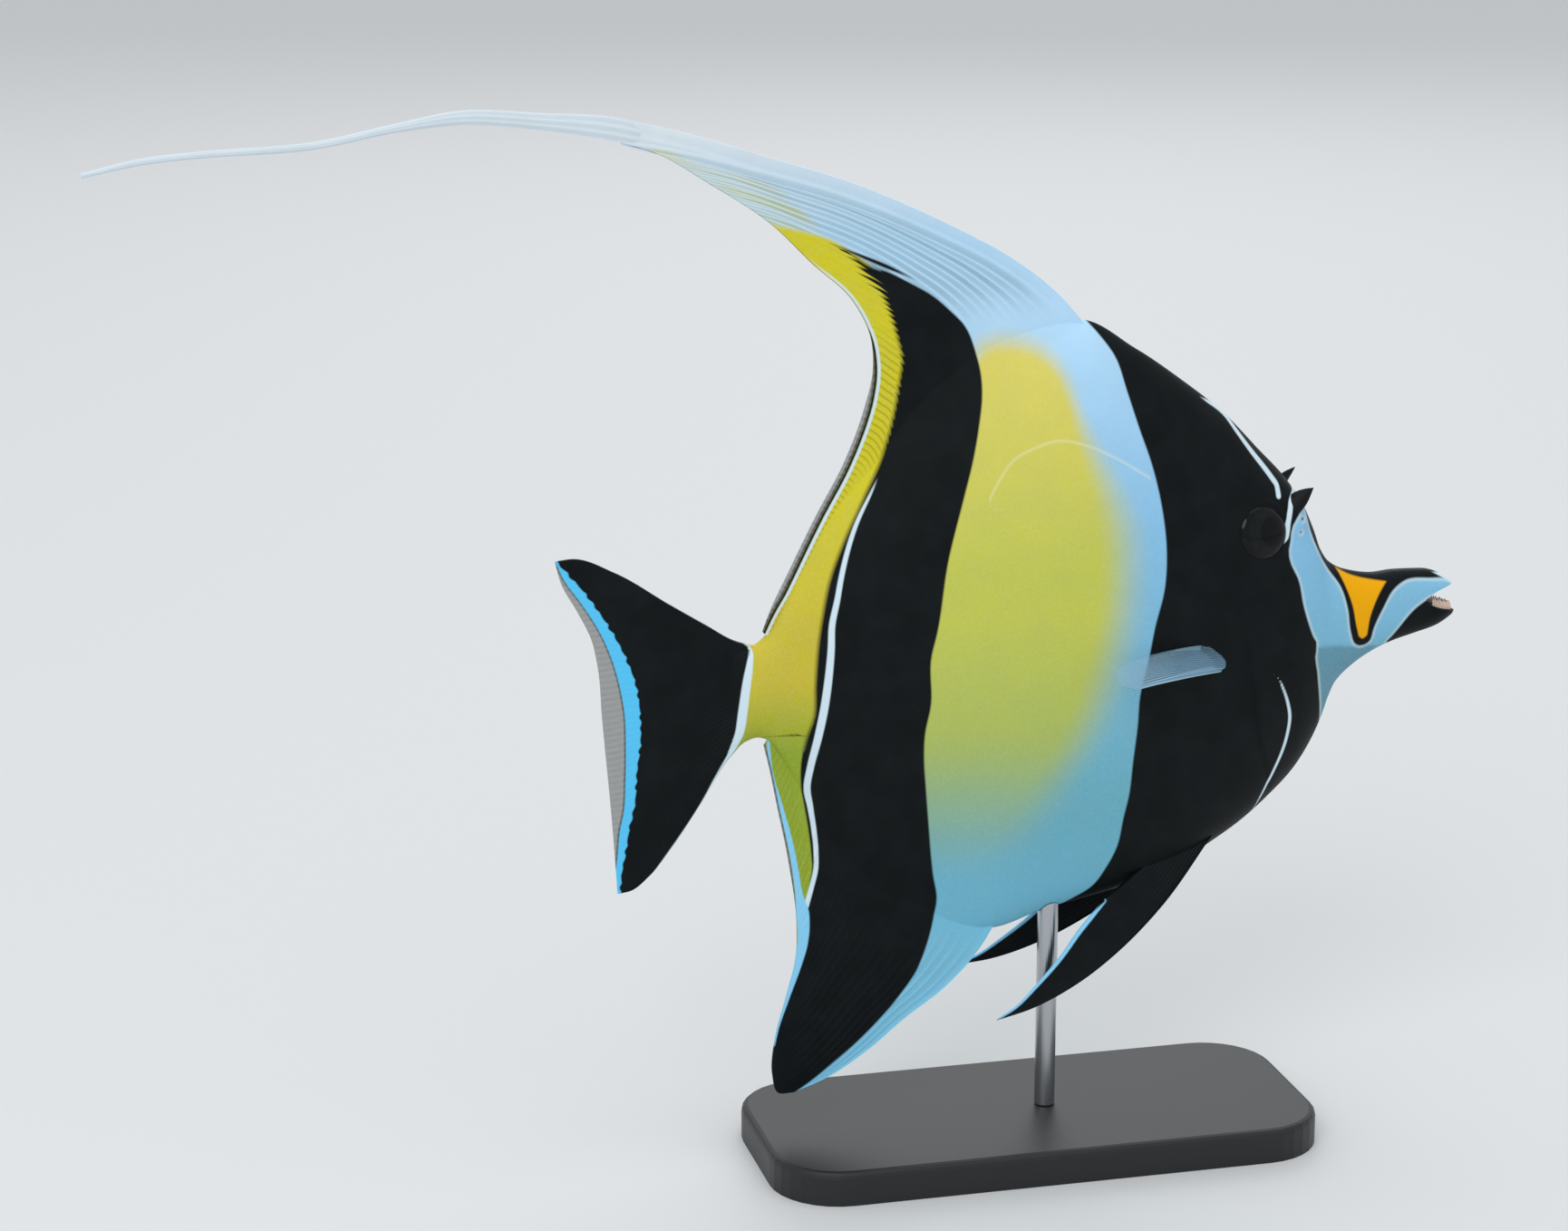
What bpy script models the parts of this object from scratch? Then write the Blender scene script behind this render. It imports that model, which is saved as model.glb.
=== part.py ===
"""Moorish idol: a still, life-size display model of the fish on a plain stand.

Every size below is in millimetres and is turned to metres when a mesh is made. The head points to +X, the
back to +Z, and the fish's own middle plane is y = 0 as far back as the tail stalk, from where it sways a
little to -Y. The origin is the centre of the stand's underside.
"""
import math

import bmesh
import bpy
import numpy as np
from mathutils import Matrix, Vector

MM = 0.001
GAP = 0.3                       # left between two pieces that meet face to face
SEAT_GAP = 0.345                # the same where a piece stands on a curved flank, whose facets are lower

# Overall: 170 mm from the lip to the root of the tail fin, 137 mm deep from the nape to the belly
LIP_X, LIP_Z = 102.6, 127.0
TAIL_ROOT_X = -70.0
NAPE_X, NAPE_Z = 9.0, 195.2     # where the dorsal fin starts
VENT_X, VENT_Z = -10.0, 53.2    # where the anal fin starts

# The outline of the body from the tail stalk forward, fins taken off: x, z
BACK = [(-74.0, 125.0), (-67.2, 124.8), (-63.2, 127.4), (-60.0, 133.0), (-55.3, 141.4), (-48.6, 153.5),
        (-44.0, 159.6), (-38.5, 166.2), (-31.5, 176.0), (-23.0, 185.0), (-9.0, 193.4), (NAPE_X, NAPE_Z),
        (22.1, 188.2), (32.7, 180.9), (43.6, 172.3), (51.8, 163.9), (58.4, 157.0), (62.0, 152.0),
        (65.3, 145.6), (67.3, 140.4), (70.2, 136.2), (74.8, 133.7), (81.8, 132.5), (87.0, 132.9),
        (94.0, 132.7), (97.6, 131.8), (99.8, 130.6), (101.0, 129.4), (101.7, 128.2), (LIP_X, LIP_Z)]
BELLY = [(-74.0, 104.2), (-70.1, 103.5), (-66.9, 103.0), (-63.4, 102.2), (-60.0, 97.8), (-55.5, 90.0),
         (-50.5, 80.4), (-44.0, 70.6), (-36.0, 62.6), (-26.0, 57.0), (VENT_X, VENT_Z), (3.5, 56.9),
         (13.7, 58.9), (27.0, 62.2), (36.6, 66.2), (43.6, 70.4), (49.6, 74.4), (57.9, 81.6), (62.3, 86.2),
         (65.5, 91.0), (68.4, 97.2), (69.8, 101.6), (71.9, 106.3), (75.8, 110.2), (81.9, 114.0),
         (86.6, 115.9), (92.3, 117.5), (97.2, 118.9), (100.4, 120.8),
         (101.7, 122.0), (LIP_X, LIP_Z - 3.0)]
# Half the body's thickness at its fullest, along x
GIRTH = [(-74.0, 3.2), (-66.0, 3.7), (-58.0, 4.6), (-48.0, 6.2), (-36.0, 8.0), (-22.0, 10.2), (-6.0, 12.2),
         (10.0, 13.3), (26.0, 13.9), (38.0, 13.8), (47.0, 13.2), (55.0, 12.2), (61.0, 10.8), (66.0, 8.9),
         (70.0, 7.2), (75.0, 5.9), (81.0, 5.0), (88.0, 4.5), (94.0, 4.3), (99.0, 3.6), (LIP_X, 1.6)]
# How round a cross-section is: 0.5 is an ellipse, 1 a lens with sharp edges
ROUNDNESS = [(-74.0, 0.5), (-60.0, 0.6), (-40.0, 0.8), (0.0, 0.72), (40.0, 0.56), (62.0, 0.5), (LIP_X, 0.5)]
FIN_SEAT = 1.3                  # half the flat that the dorsal and anal fins stand on
KEEL = 0.4                      # half the narrow flat along the nape and the belly
STATIONS, SAMPLES = 66, 15      # cross-sections along the body, and points up one side of each

# Local swellings of the flank: x, z, reach along x, reach along z, height
BROW = (60.0, 151.0, 4.0, 4.5, 2.0)
CHEEK = (60.0, 118.0, 12.0, 14.0, 0.6)
UPPER_LIP = (98.5, 129.6, 3.4, 2.0, 0.5)
LOWER_LIP = (98.5, 122.6, 3.6, 2.2, 0.5)
SHOULDER = (36.0, 116.0, 9.0, 9.0, 0.5)

# The gill cover's rear edge, from the nape to the breast, and how far it stands off the shoulder
GILL_LINE = [(30.0, 188.0), (35.5, 171.0), (39.0, 156.0), (41.2, 143.0), (43.6, 131.0), (46.4, 120.0),
             (47.8, 112.0), (49.0, 104.0), (51.2, 95.0), (54.4, 86.0), (58.6, 76.0), (60.6, 71.0)]
GILL_FLARE, GILL_REACH = 0.7, 9.0
GILL_TOP, GILL_FOOT = 132.0, 92.0

# The jaws: the snout is parted at JAW_X, and the mouth opens forward from its corner
JAW_X = 86.6
MOUTH_CORNER = (93.4, 126.2)
JAW_HINGE = (81.9, 113.4)
UPPER_LIP_EDGE = [(96.8, 128.2), (99.6, 129.1), (104.0, 129.3)]
LOWER_LIP_EDGE = [(95.0, 124.8), (97.2, 123.8), (99.6, 123.2), (104.0, 122.3)]
# Teeth stand in an arc round the front of the lower jaw; the upper lip hides its own
TEETH, TOOTH_LENGTH, TOOTH_RADIUS, TOOTH_TIP = 9, 1.25, 0.42, 0.14
ARC_X, ARC_DEPTH, ARC_HALF_WIDTH, ARC_SPREAD = 98.3, 2.9, 2.5, 68.0
TEETH_Z, TEETH_SLOPE = 124.4, -0.35

STALK_X = -57.5                 # trunk ends and tail stalk begins
TAIL_TOP, TAIL_FOOT = (-66.6, 130.0), (-70.6, 98.0)   # the slanted root of the tail fin

# Corners of the outlines that part the pieces, where they pass clear of the body
HEAD_ABOVE, HEAD_BELOW = [(80.0, 200.0), (35.0, 200.0)], [(62.0, 60.0), (80.0, 100.0)]
TRUNK_ABOVE, TRUNK_BELOW = [(-40.0, 230.0), (35.0, 200.0)], (60.0, 40.0)
STALK_Z = (90.0, 150.0)
LIPS_CLEAR_X, LIPS_CLEAR_TOP, LIPS_CLEAR_FOOT, CHIN_CLEAR = 108.0, 140.0, 112.0, (83.9, 108.0)

EYE_X, EYE_Z, EYE_Y = 49.9, 146.3, 10.15
EYE_RADIUS, EYE_DEPTH = 6.3, 2.3
EYE_TURN, EYE_TILT = 11.0, 10.5     # degrees that each eye looks forward of square, and up
# Nostrils before each eye: x, z, radius
NOSTRILS = [(61.0, 147.0, 0.75), (60.2, 144.6, 0.5)]
NOSTRIL_DEPTH = 1.6             # of a nostril's radius

HORN_BASE, HORN_MID, HORN_TIP = (57.4, 6.3, 149.8), (61.2, 7.5, 152.2), (63.7, 8.1, 156.2)
HORN_RADIUS = 2.1

# Sideways curve of the rear of the fish, which starts behind the body
SWAY_START, SWAY_RUN, SWAY_GAIN = -45.0, 60.0, 0.12

# Dorsal fin: leading edge back to the root of the filament, and the trailing edge from there to the stalk
DORSAL_LEAD = [(-1.0, 203.6), (-8.0, 209.6), (-22.6, 217.8), (-43.9, 227.6), (-64.9, 234.7), (-78.9, 239.4),
               (-95.8, 243.8)]
DORSAL_TRAIL = [(-95.9, 238.6), (-88.7, 236.3), (-76.2, 228.9), (-62.2, 219.4), (-53.0, 210.4),
                (-43.7, 201.7), (-39.5, 193.1), (-39.0, 186.6), (-41.1, 177.1), (-45.6, 165.4),
                (-52.1, 153.5), (-58.2, 141.5), (-63.2, 131.2), (-64.4, 127.9)]
# Share of the fin's root against the share of its edge where the same ray starts and ends
DORSAL_SWEEP = [(0.0, 0.0), (0.257, 0.27), (0.371, 0.467), (0.537, 0.64), (0.82, 0.86), (1.0, 1.0)]

# The filament: its upper and lower edge, from the fin's end to the tip
FILAMENT_TOP = [(-96.2, 243.9), (-113.5, 245.7), (-131.1, 247.0), (-144.1, 244.9), (-161.3, 241.9),
                (-186.6, 240.9), (-197.0, 240.2), (-210.1, 237.7)]
FILAMENT_FOOT = [(-96.3, 238.7), (-113.5, 242.0), (-131.2, 243.9), (-144.1, 243.0), (-161.3, 240.3),
                 (-186.6, 239.5), (-197.0, 238.8), (-209.9, 236.7)]
FILAMENT_HALF_ROOT, FILAMENT_HALF_TIP = 0.75, 0.45
FILAMENT_STATIONS = 26
FILAMENT_ROUND = (0.55, 1.0, 1.0, 0.55)     # share of the half thickness from its upper to its lower edge

ANAL_LEAD = [(-11.8, 50.1), (-21.3, 39.6), (-30.5, 33.0), (-40.0, 25.4), (-49.2, 19.8), (-57.2, 16.9)]
ANAL_TRAIL = [(-61.0, 17.3), (-62.2, 21.5), (-61.5, 31.0), (-58.8, 41.0), (-56.6, 50.0), (-56.4, 58.0),
              (-58.4, 73.6), (-61.0, 86.5), (-63.2, 97.3), (-64.2, 101.4)]
ANAL_SWEEP = [(0.0, 0.0), (0.17, 0.045), (0.36, 0.17), (0.51, 0.31), (0.66, 0.48), (0.80, 0.69), (1.0, 1.0)]

TAIL_UPPER = [(-70.6, 126.2), (-77.8, 130.7), (-85.7, 135.8), (-98.4, 144.2), (-107.6, 148.1),
              (-111.9, 147.9)]
TAIL_LOWER = [(-72.6, 99.0), (-79.3, 89.0), (-86.1, 79.3), (-91.4, 73.2), (-95.3, 70.4), (-98.6, 69.9)]
TAIL_EDGE = [(-111.9, 147.9), (-110.6, 142.9), (-106.8, 135.7), (-104.0, 129.8), (-102.4, 122.3),
             (-101.7, 111.6), (-101.0, 103.1), (-100.2, 93.7), (-99.3, 81.5), (-98.6, 69.9)]

# Pectoral fins, caught in mid stroke: the foremost ray is swung out and the hindmost lies along the flank
PEC_ROOT_FRONT, PEC_ROOT_REAR = (45.0, 115.6), (42.2, 120.2)
PEC_FRONT_RAY, PEC_REAR_RAY = (-0.91, -0.40, 0.06), (-0.96, -0.17, 0.12)   # as they leave the right flank
PEC_LENGTHS = [(0.0, 32.0), (0.22, 37.0), (0.45, 36.5), (0.75, 30.0), (1.0, 20.0)]
PEC_SUNK, PEC_DROOP, PEC_BOW = 3.0, 2.4, 1.4

# Pelvic fins: leading and inner edge as the right one hangs, and the spread of the pair
PELVIC_ROOT_REAR = (27.0, 64.6)
PELVIC_LEAD = [(39.2, 69.6), (29.7, 57.6), (19.7, 48.2), (9.2, 40.8), (-1.8, 35.6), (-10.6, 33.3)]
PELVIC_INNER = [(-10.9, 33.6), (-6.0, 36.4), (-1.4, 40.6), (4.2, 46.3), (10.4, 54.0), (15.8, 59.4)]
PELVIC_Y_ROOT, PELVIC_Y_LEAD, PELVIC_Y_INNER = 4.6, 8.2, 5.4
PELVIC_LIFT = {"right": 0.0, "left": 8.5}       # degrees that each is raised towards the belly

# The stand
BASE_LENGTH, BASE_WIDTH, BASE_HEIGHT = 132.0, 58.0, 8.0
BASE_CORNER, BASE_EDGE = 16.0, 1.5
ROD_X, ROD_RADIUS = 4.0, 2.4

# Rays in each fin, the rows of the mesh for each of them, and how far a ray stands up from the film
RAYS = {"dorsal": 22, "anal": 16, "tail": 15, "pectoral": 9, "pelvic": 6}
ROWS_PER_RAY = 3
RIDGE = 0.3
FIN_CREASE, FLESH_CREASE = 50.0, 50.0   # degrees between two facets above which an edge is drawn sharp
STEEL_CREASE, LACQUER_CREASE, BONE_CREASE = 40.0, 30.0, 40.0
FILM_TAPER, RIDGE_FADE = 1.6, 0.85      # how a fin's film thins to its edge, and how its ridges fade there
PROFILE_POWER = 2.4             # of a cross-section: 2 is an ellipse, more is fuller
WELD = 0.00002                  # metres between two vertices that a cut leaves as one
ROD_SUNK = 12.0                 # how far the rod reaches past the belly line before the belly is cut from it
# Points along a ray, and half the film's thickness at the fin's root and at its edge
DORSAL_COLUMNS, TAIL_COLUMNS, PAIRED_COLUMNS = 10, 9, 8
UNPAIRED_HALF, TAIL_HALF, PAIRED_HALF = (0.95, 0.32), (2.2, 0.32), (0.85, 0.28)
# Where the rearmost rays of the dorsal and anal fin leave the stalk, and the height of the tail fin's root
DORSAL_END, ANAL_END = -63.6, -63.2
TAIL_ROOT_TOP, TAIL_ROOT_FOOT = 124.6, 103.8


def pchip(points, x):
    """Smooth curve through the points with no overshoot between them."""
    xs, ys = np.array(points, float).T
    step = np.diff(xs)
    slope = np.diff(ys) / step
    tangent = np.zeros_like(ys)
    same = slope[:-1] * slope[1:] > 0
    near, far = 2 * step[1:] + step[:-1], step[1:] + 2 * step[:-1]
    inner = np.zeros(len(ys) - 2)
    inner[same] = (near + far)[same] / (near[same] / slope[:-1][same] + far[same] / slope[1:][same])
    tangent[1:-1] = inner
    tangent[0], tangent[-1] = slope[0], slope[-1]
    x = np.asarray(x, float)
    k = np.clip(np.searchsorted(xs, x) - 1, 0, len(xs) - 2)
    t = (x - xs[k]) / step[k]
    return (ys[k] * (1 + 2 * t) * (1 - t) ** 2 + tangent[k] * step[k] * t * (1 - t) ** 2
            + ys[k + 1] * t * t * (3 - 2 * t) + tangent[k + 1] * step[k] * t * t * (t - 1))


def curve(points, share):
    """Point at each share of the length of a smooth curve through the points."""
    p = np.array(points, float)
    chord = np.concatenate([[0.0], np.cumsum(np.linalg.norm(np.diff(p, axis=0), axis=1))])
    tangent = np.gradient(p, chord, axis=0)
    fine = np.linspace(0.0, chord[-1], 600)
    k = np.clip(np.searchsorted(chord, fine) - 1, 0, len(p) - 2)
    h = (chord[k + 1] - chord[k])[:, None]
    t = ((fine - chord[k]) / h[:, 0])[:, None]
    q = (p[k] * (1 + 2 * t) * (1 - t) ** 2 + tangent[k] * h * t * (1 - t) ** 2
         + p[k + 1] * t * t * (3 - 2 * t) + tangent[k + 1] * h * t * t * (t - 1))
    length = np.concatenate([[0.0], np.cumsum(np.linalg.norm(np.diff(q, axis=0), axis=1))])
    at = np.asarray(share, float) * length[-1]
    return np.stack([np.interp(at, length, q[:, axis]) for axis in range(q.shape[1])], -1)


def sway(x):
    """Sideways shift of the middle plane at x."""
    behind = np.maximum(0.0, SWAY_START - x)
    return -SWAY_GAIN * behind ** 2 / (behind + SWAY_RUN)


def smooth_step(x):
    x = np.clip(x, 0.0, 1.0)
    return x * x * (3 - 2 * x)


def swelling(x, z, spot):
    at_x, at_z, reach_x, reach_z, height = spot
    return height * np.exp(-((x - at_x) / reach_x) ** 2 - ((z - at_z) / reach_z) ** 2)


def half_thickness(x, z, gill=False):
    """Half the body's thickness: a rounded profile between belly and back, with the local swellings."""
    low, high = pchip(BELLY, x), pchip(BACK, x)
    v = np.clip((2 * z - low - high) / (high - low), -1.0, 1.0)
    profile = np.clip(1.0 - np.abs(v) ** PROFILE_POWER, 0.0, 1.0) ** pchip(ROUNDNESS, x)
    swell = sum(swelling(x, z, spot) for spot in (BROW, CHEEK, UPPER_LIP, LOWER_LIP, SHOULDER))
    bare = smooth_step((1.0 - np.abs(v)) / 0.06)
    top_seat = (v > 0) & (x < NAPE_X + 1.0)
    foot_seat = (v < 0) & (x < VENT_X + 1.0)
    edge = np.where(top_seat | foot_seat, FIN_SEAT, KEEL)
    out = edge + (pchip(GIRTH, x) - edge) * profile + swell * bare
    if gill:
        line = np.interp(z, [p[1] for p in GILL_LINE[::-1]], [p[0] for p in GILL_LINE[::-1]])
        near = smooth_step(1.0 - (x - line) / GILL_REACH) * (x > line - 3.0)
        span = smooth_step((GILL_TOP - z) / 8.0) * smooth_step((z - GILL_FOOT) / 8.0)
        out = out + GILL_FLARE * near * span
    return out


def material(name, colour, roughness, metallic=0.0):
    """Principled material of one plain colour, given as linear RGB."""
    made = bpy.data.materials.new(name)
    made.use_nodes = True
    shader = made.node_tree.nodes["Principled BSDF"]
    shader.inputs["Base Color"].default_value = (*colour, 1.0)
    shader.inputs["Roughness"].default_value = roughness
    shader.inputs["Metallic"].default_value = metallic
    return made


def collection(name):
    made = bpy.data.collections.new(name)
    bpy.context.scene.collection.children.link(made)
    return made


def add_object(name, mesh, home, finish=None):
    made = bpy.data.objects.new(name, mesh)
    home.objects.link(made)
    if finish:
        mesh.materials.append(finish)
    if home.name == "cutters":
        made.hide_render = True
        made.display_type = "WIRE"
    return made


def slab(name, middle, offset):
    """Closed mesh of two like grids, one offset to each side of the middle grid, joined round the rim.

    Both grids are split along the same diagonals, so the two faces of a thin curved fin never cross.
    """
    rows, columns = middle.shape[:2]
    verts = np.concatenate([(middle - offset).reshape(-1, 3), (middle + offset).reshape(-1, 3)]) * MM
    index = np.arange(rows * columns).reshape(rows, columns)
    a, b, c, d = index[:-1, :-1], index[1:, :-1], index[1:, 1:], index[:-1, 1:]
    near = np.concatenate([np.stack([a, b, c], -1).reshape(-1, 3), np.stack([a, c, d], -1).reshape(-1, 3)])
    far = near[:, ::-1] + rows * columns
    rim = np.concatenate([index[:-1, 0], index[-1, :-1], index[:0:-1, -1], index[0, :0:-1]])
    after = np.roll(rim, -1)
    other = rows * columns
    walls = np.concatenate([np.stack([rim, rim + other, after + other], -1),
                            np.stack([rim, after + other, after], -1)])
    mesh = bpy.data.meshes.new(name)
    mesh.from_pydata(verts.tolist(), [], np.concatenate([near, far, walls]).tolist())
    work = bmesh.new()
    work.from_mesh(mesh)
    if work.calc_volume(signed=True) < 0:
        bmesh.ops.reverse_faces(work, faces=work.faces)
    work.to_mesh(mesh)
    work.free()
    mesh.update()
    return mesh


def body_mesh(name, gill=False, grow=0.0):
    """Loft of the whole body between belly and back, or a copy that is larger by grow all round."""
    fine = np.linspace(TAIL_ROOT_X - 3.0, LIP_X, 1600)
    slope = np.maximum(np.abs(np.gradient(pchip(BACK, fine), fine)),
                       np.abs(np.gradient(pchip(BELLY, fine), fine)))
    run = np.concatenate([[0.0], np.cumsum(np.diff(fine) * np.hypot(1.0, np.minimum(slope[1:], 4.0)))])
    x = np.interp(np.linspace(0.0, run[-1], STATIONS), run, fine)
    low, high = pchip(BELLY, x)[:, None], pchip(BACK, x)[:, None]
    v = -np.cos(np.linspace(0.0, math.pi, SAMPLES))[None, :]
    z = (low + high) / 2 + v * (high - low) / 2
    wide = np.broadcast_to(x[:, None], z.shape)
    middle = np.stack([wide, sway(wide), z], -1)
    offset = np.zeros_like(middle)
    offset[..., 1] = half_thickness(wide, z, gill)
    mesh = slab(name, middle, offset)
    if grow:
        normals = [Vector(v.normal) for v in mesh.vertices]
        for vertex, normal in zip(mesh.vertices, normals):
            vertex.co += normal * grow * MM
    return mesh


def prism(name, outline, home, half=60.0):
    """Closed block with the given outline in x and z, reaching to both sides of the fish."""
    grid = np.array([[(x, -half, z) for x, z in outline], [(x, half, z) for x, z in outline]]) * MM
    count = len(outline)
    faces = [list(range(count))[::-1], list(range(count, 2 * count))]
    faces += [[k, (k + 1) % count, (k + 1) % count + count, k + count] for k in range(count)]
    mesh = bpy.data.meshes.new(name)
    mesh.from_pydata(grid.reshape(-1, 3).tolist(), [], faces)
    work = bmesh.new()
    work.from_mesh(mesh)
    bmesh.ops.triangulate(work, faces=work.faces)
    if work.calc_volume(signed=True) < 0:
        bmesh.ops.reverse_faces(work, faces=work.faces)
    work.to_mesh(mesh)
    work.free()
    return add_object(name, mesh, home)


def cut(target, cutter, operation="DIFFERENCE"):
    boolean = target.modifiers.new(operation.lower() + "_" + cutter.name, "BOOLEAN")
    boolean.operation = operation
    boolean.solver = "EXACT"
    boolean.object = cutter


def settle(target):
    """Apply the modifiers and keep the largest closed surface, with flat slivers dissolved."""
    bpy.context.view_layer.update()
    evaluated = target.evaluated_get(bpy.context.evaluated_depsgraph_get())
    mesh = bpy.data.meshes.new_from_object(evaluated)
    work = bmesh.new()
    work.from_mesh(mesh)
    bmesh.ops.remove_doubles(work, verts=work.verts, dist=WELD)
    bmesh.ops.triangulate(work, faces=work.faces)
    left, islands = set(work.verts), []
    while left:
        found, edge = set(), [left.pop()]
        while edge:
            vertex = edge.pop()
            found.add(vertex)
            for link in vertex.link_edges:
                other = link.other_vert(vertex)
                if other in left:
                    left.remove(other)
                    edge.append(other)
        islands.append(found)
    islands.sort(key=len)
    for scrap in islands[:-1]:
        bmesh.ops.delete(work, geom=list(scrap), context="VERTS")
    work.to_mesh(mesh)
    work.free()
    target.modifiers.clear()
    target.data = mesh


def shaded(target, degrees):
    target.data.shade_smooth()
    target.data.set_sharp_from_angle(angle=math.radians(degrees))


def gill_outline(shift):
    line = curve(GILL_LINE, np.linspace(0.0, 1.0, 25))
    return [(x + shift, z) for x, z in line]


def make_flesh(parts, cutters, skin):
    """Head, jaws, trunk and tail stalk: one loft, parted with thin cuts."""
    half = GAP / 2
    mouth_top = [(MOUTH_CORNER[0], MOUTH_CORNER[1] + half)] + UPPER_LIP_EDGE
    mouth_foot = [(MOUTH_CORNER[0] + half, MOUTH_CORNER[1] - half)] + LOWER_LIP_EDGE
    hinge_x, hinge_z = JAW_HINGE
    along = (JAW_X - hinge_x) / (MOUTH_CORNER[0] - hinge_x)
    jaw_z = hinge_z + along * (MOUTH_CORNER[1] - hinge_z)
    head = [(JAW_X - half, jaw_z + half), (JAW_X - half, LIPS_CLEAR_TOP), *HEAD_ABOVE, *gill_outline(half),
            *HEAD_BELOW, (hinge_x, hinge_z)]
    upper = [(JAW_X + half, jaw_z + 2 * half), *mouth_top, (LIPS_CLEAR_X, LIPS_CLEAR_TOP),
             (JAW_X + half, LIPS_CLEAR_TOP)]
    lower = [(hinge_x + GAP, hinge_z - half), CHIN_CLEAR, (LIPS_CLEAR_X, LIPS_CLEAR_FOOT), *mouth_foot[::-1]]
    trunk = [*gill_outline(-half), TRUNK_BELOW, (STALK_X + half, TRUNK_BELOW[1]),
             (STALK_X + half, HEAD_ABOVE[0][1]), *TRUNK_ABOVE]
    stalk = [(STALK_X - half, STALK_Z[0]), (STALK_X - half, STALK_Z[1]), TAIL_TOP, TAIL_FOOT]
    made = {}
    for name, outline, gill in (("head", head, True), ("upper_jaw", upper, False),
                                ("lower_jaw", lower, False), ("trunk", trunk, False),
                                ("tail_stalk", stalk, False)):
        piece = add_object(name, body_mesh(name, gill), parts, skin[name])
        cut(piece, prism(name + "_region", outline, cutters), "INTERSECT")
        settle(piece)
        made[name] = piece
    return made


def ball(name, radii, turn, tilt, centre, home, finish=None, segments=20, rings=11):
    """Ellipsoid whose poles lie across the fish, tilted, turned about the upright and set at its centre."""
    bpy.ops.mesh.primitive_uv_sphere_add(segments=segments, ring_count=rings, radius=1.0)
    sphere = bpy.context.object
    mesh = sphere.data
    bpy.data.objects.remove(sphere)
    mesh.name = name
    mesh.transform(Matrix.Translation(Vector(centre) * MM) @ Matrix.Rotation(math.radians(turn), 4, "Z")
                   @ Matrix.Rotation(math.radians(tilt), 4, "X") @ Matrix.Diagonal((*[r * MM for r in radii], 1.0))
                   @ Matrix.Rotation(math.radians(90.0), 4, "X"))
    work = bmesh.new()
    work.from_mesh(mesh)
    bmesh.ops.triangulate(work, faces=work.faces)
    work.to_mesh(mesh)
    work.free()
    return add_object(name, mesh, home, finish)


def make_eyes(parts, cutters, head, finish):
    """The eyeballs in their sockets, and the two nostrils before each."""
    for side, label in ((-1, "right"), (1, "left")):
        centre, turn, tilt = (EYE_X, side * EYE_Y, EYE_Z), -side * EYE_TURN, side * EYE_TILT
        radii = np.array([EYE_RADIUS, EYE_DEPTH, EYE_RADIUS])
        eye = ball("eye_" + label, radii, turn, tilt, centre, parts, finish)
        shaded(eye, BONE_CREASE)
        cut(head, ball("socket_" + label, radii + GAP, turn, tilt, centre, cutters))
        for number, (x, z, radius) in enumerate(NOSTRILS):
            flank = float(half_thickness(np.array([x]), np.array([z]))[0])
            name = "nostril_%s_%d" % (label, number)
            cut(head, ball(name, [radius, radius * NOSTRIL_DEPTH, radius], 0.0, 0.0, (x, side * flank, z),
                           cutters, segments=8, rings=6))
    settle(head)


def make_teeth(jaw, cutters):
    """A row of small teeth round the front of the lower jaw, fused to it, with their roots sunk in."""
    teeth = bpy.data.collections.new("teeth")
    cutters.children.link(teeth)
    for angle in np.radians(np.linspace(-ARC_SPREAD, ARC_SPREAD, TEETH)):
        x, y = ARC_X + ARC_DEPTH * math.cos(angle), ARC_HALF_WIDTH * math.sin(angle)
        z = TEETH_Z + TEETH_SLOPE * (x - ARC_X)
        work = bmesh.new()
        bmesh.ops.create_cone(work, cap_ends=True, cap_tris=True, segments=6, radius1=TOOTH_RADIUS * MM,
                              radius2=TOOTH_TIP * MM, depth=2 * TOOTH_LENGTH * MM)
        bmesh.ops.translate(work, verts=work.verts, vec=Vector((x, y, z)) * MM)
        mesh = bpy.data.meshes.new("tooth")
        work.to_mesh(mesh)
        work.free()
        tooth = bpy.data.objects.new("tooth", mesh)
        tooth.hide_render, tooth.display_type = True, "WIRE"
        teeth.objects.link(tooth)
    union = jaw.modifiers.new("teeth", "BOOLEAN")
    union.operation, union.solver = "UNION", "EXACT"
    union.operand_type, union.collection = "COLLECTION", teeth
    settle(jaw)
    for tooth in list(teeth.objects):
        bpy.data.objects.remove(tooth)


def make_horns(parts, grown_head, finish):
    """The bony horn before each eye: a tube that tapers along a bent line, seated on the brow."""
    for side, label in ((-1, "right"), (1, "left")):
        line = bpy.data.curves.new("horn_" + label, "CURVE")
        line.dimensions = "3D"
        line.bevel_depth = HORN_RADIUS * MM
        line.bevel_resolution = 2
        line.resolution_u = 6
        line.use_fill_caps = True
        spline = line.splines.new("NURBS")
        spline.points.add(2)
        for point, (x, y, z), width in zip(spline.points, (HORN_BASE, HORN_MID, HORN_TIP), (1.0, 0.75, 0.12)):
            point.co = (x * MM, side * y * MM, z * MM, 1.0)
            point.radius = width
        spline.order_u = 3
        spline.use_endpoint_u = True
        guide = bpy.data.objects.new("horn_guide", line)
        bpy.context.scene.collection.objects.link(guide)
        bpy.context.view_layer.update()
        mesh = bpy.data.meshes.new_from_object(guide.evaluated_get(bpy.context.evaluated_depsgraph_get()))
        bpy.data.objects.remove(guide)
        work = bmesh.new()
        work.from_mesh(mesh)
        bmesh.ops.remove_doubles(work, verts=work.verts, dist=0.00001)
        bmesh.ops.triangulate(work, faces=work.faces)
        bmesh.ops.recalc_face_normals(work, faces=work.faces)
        work.to_mesh(mesh)
        work.free()
        horn = add_object("horn_" + label, mesh, parts, finish)
        cut(horn, grown_head)
        settle(horn)
        shaded(horn, BONE_CREASE)


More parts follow.
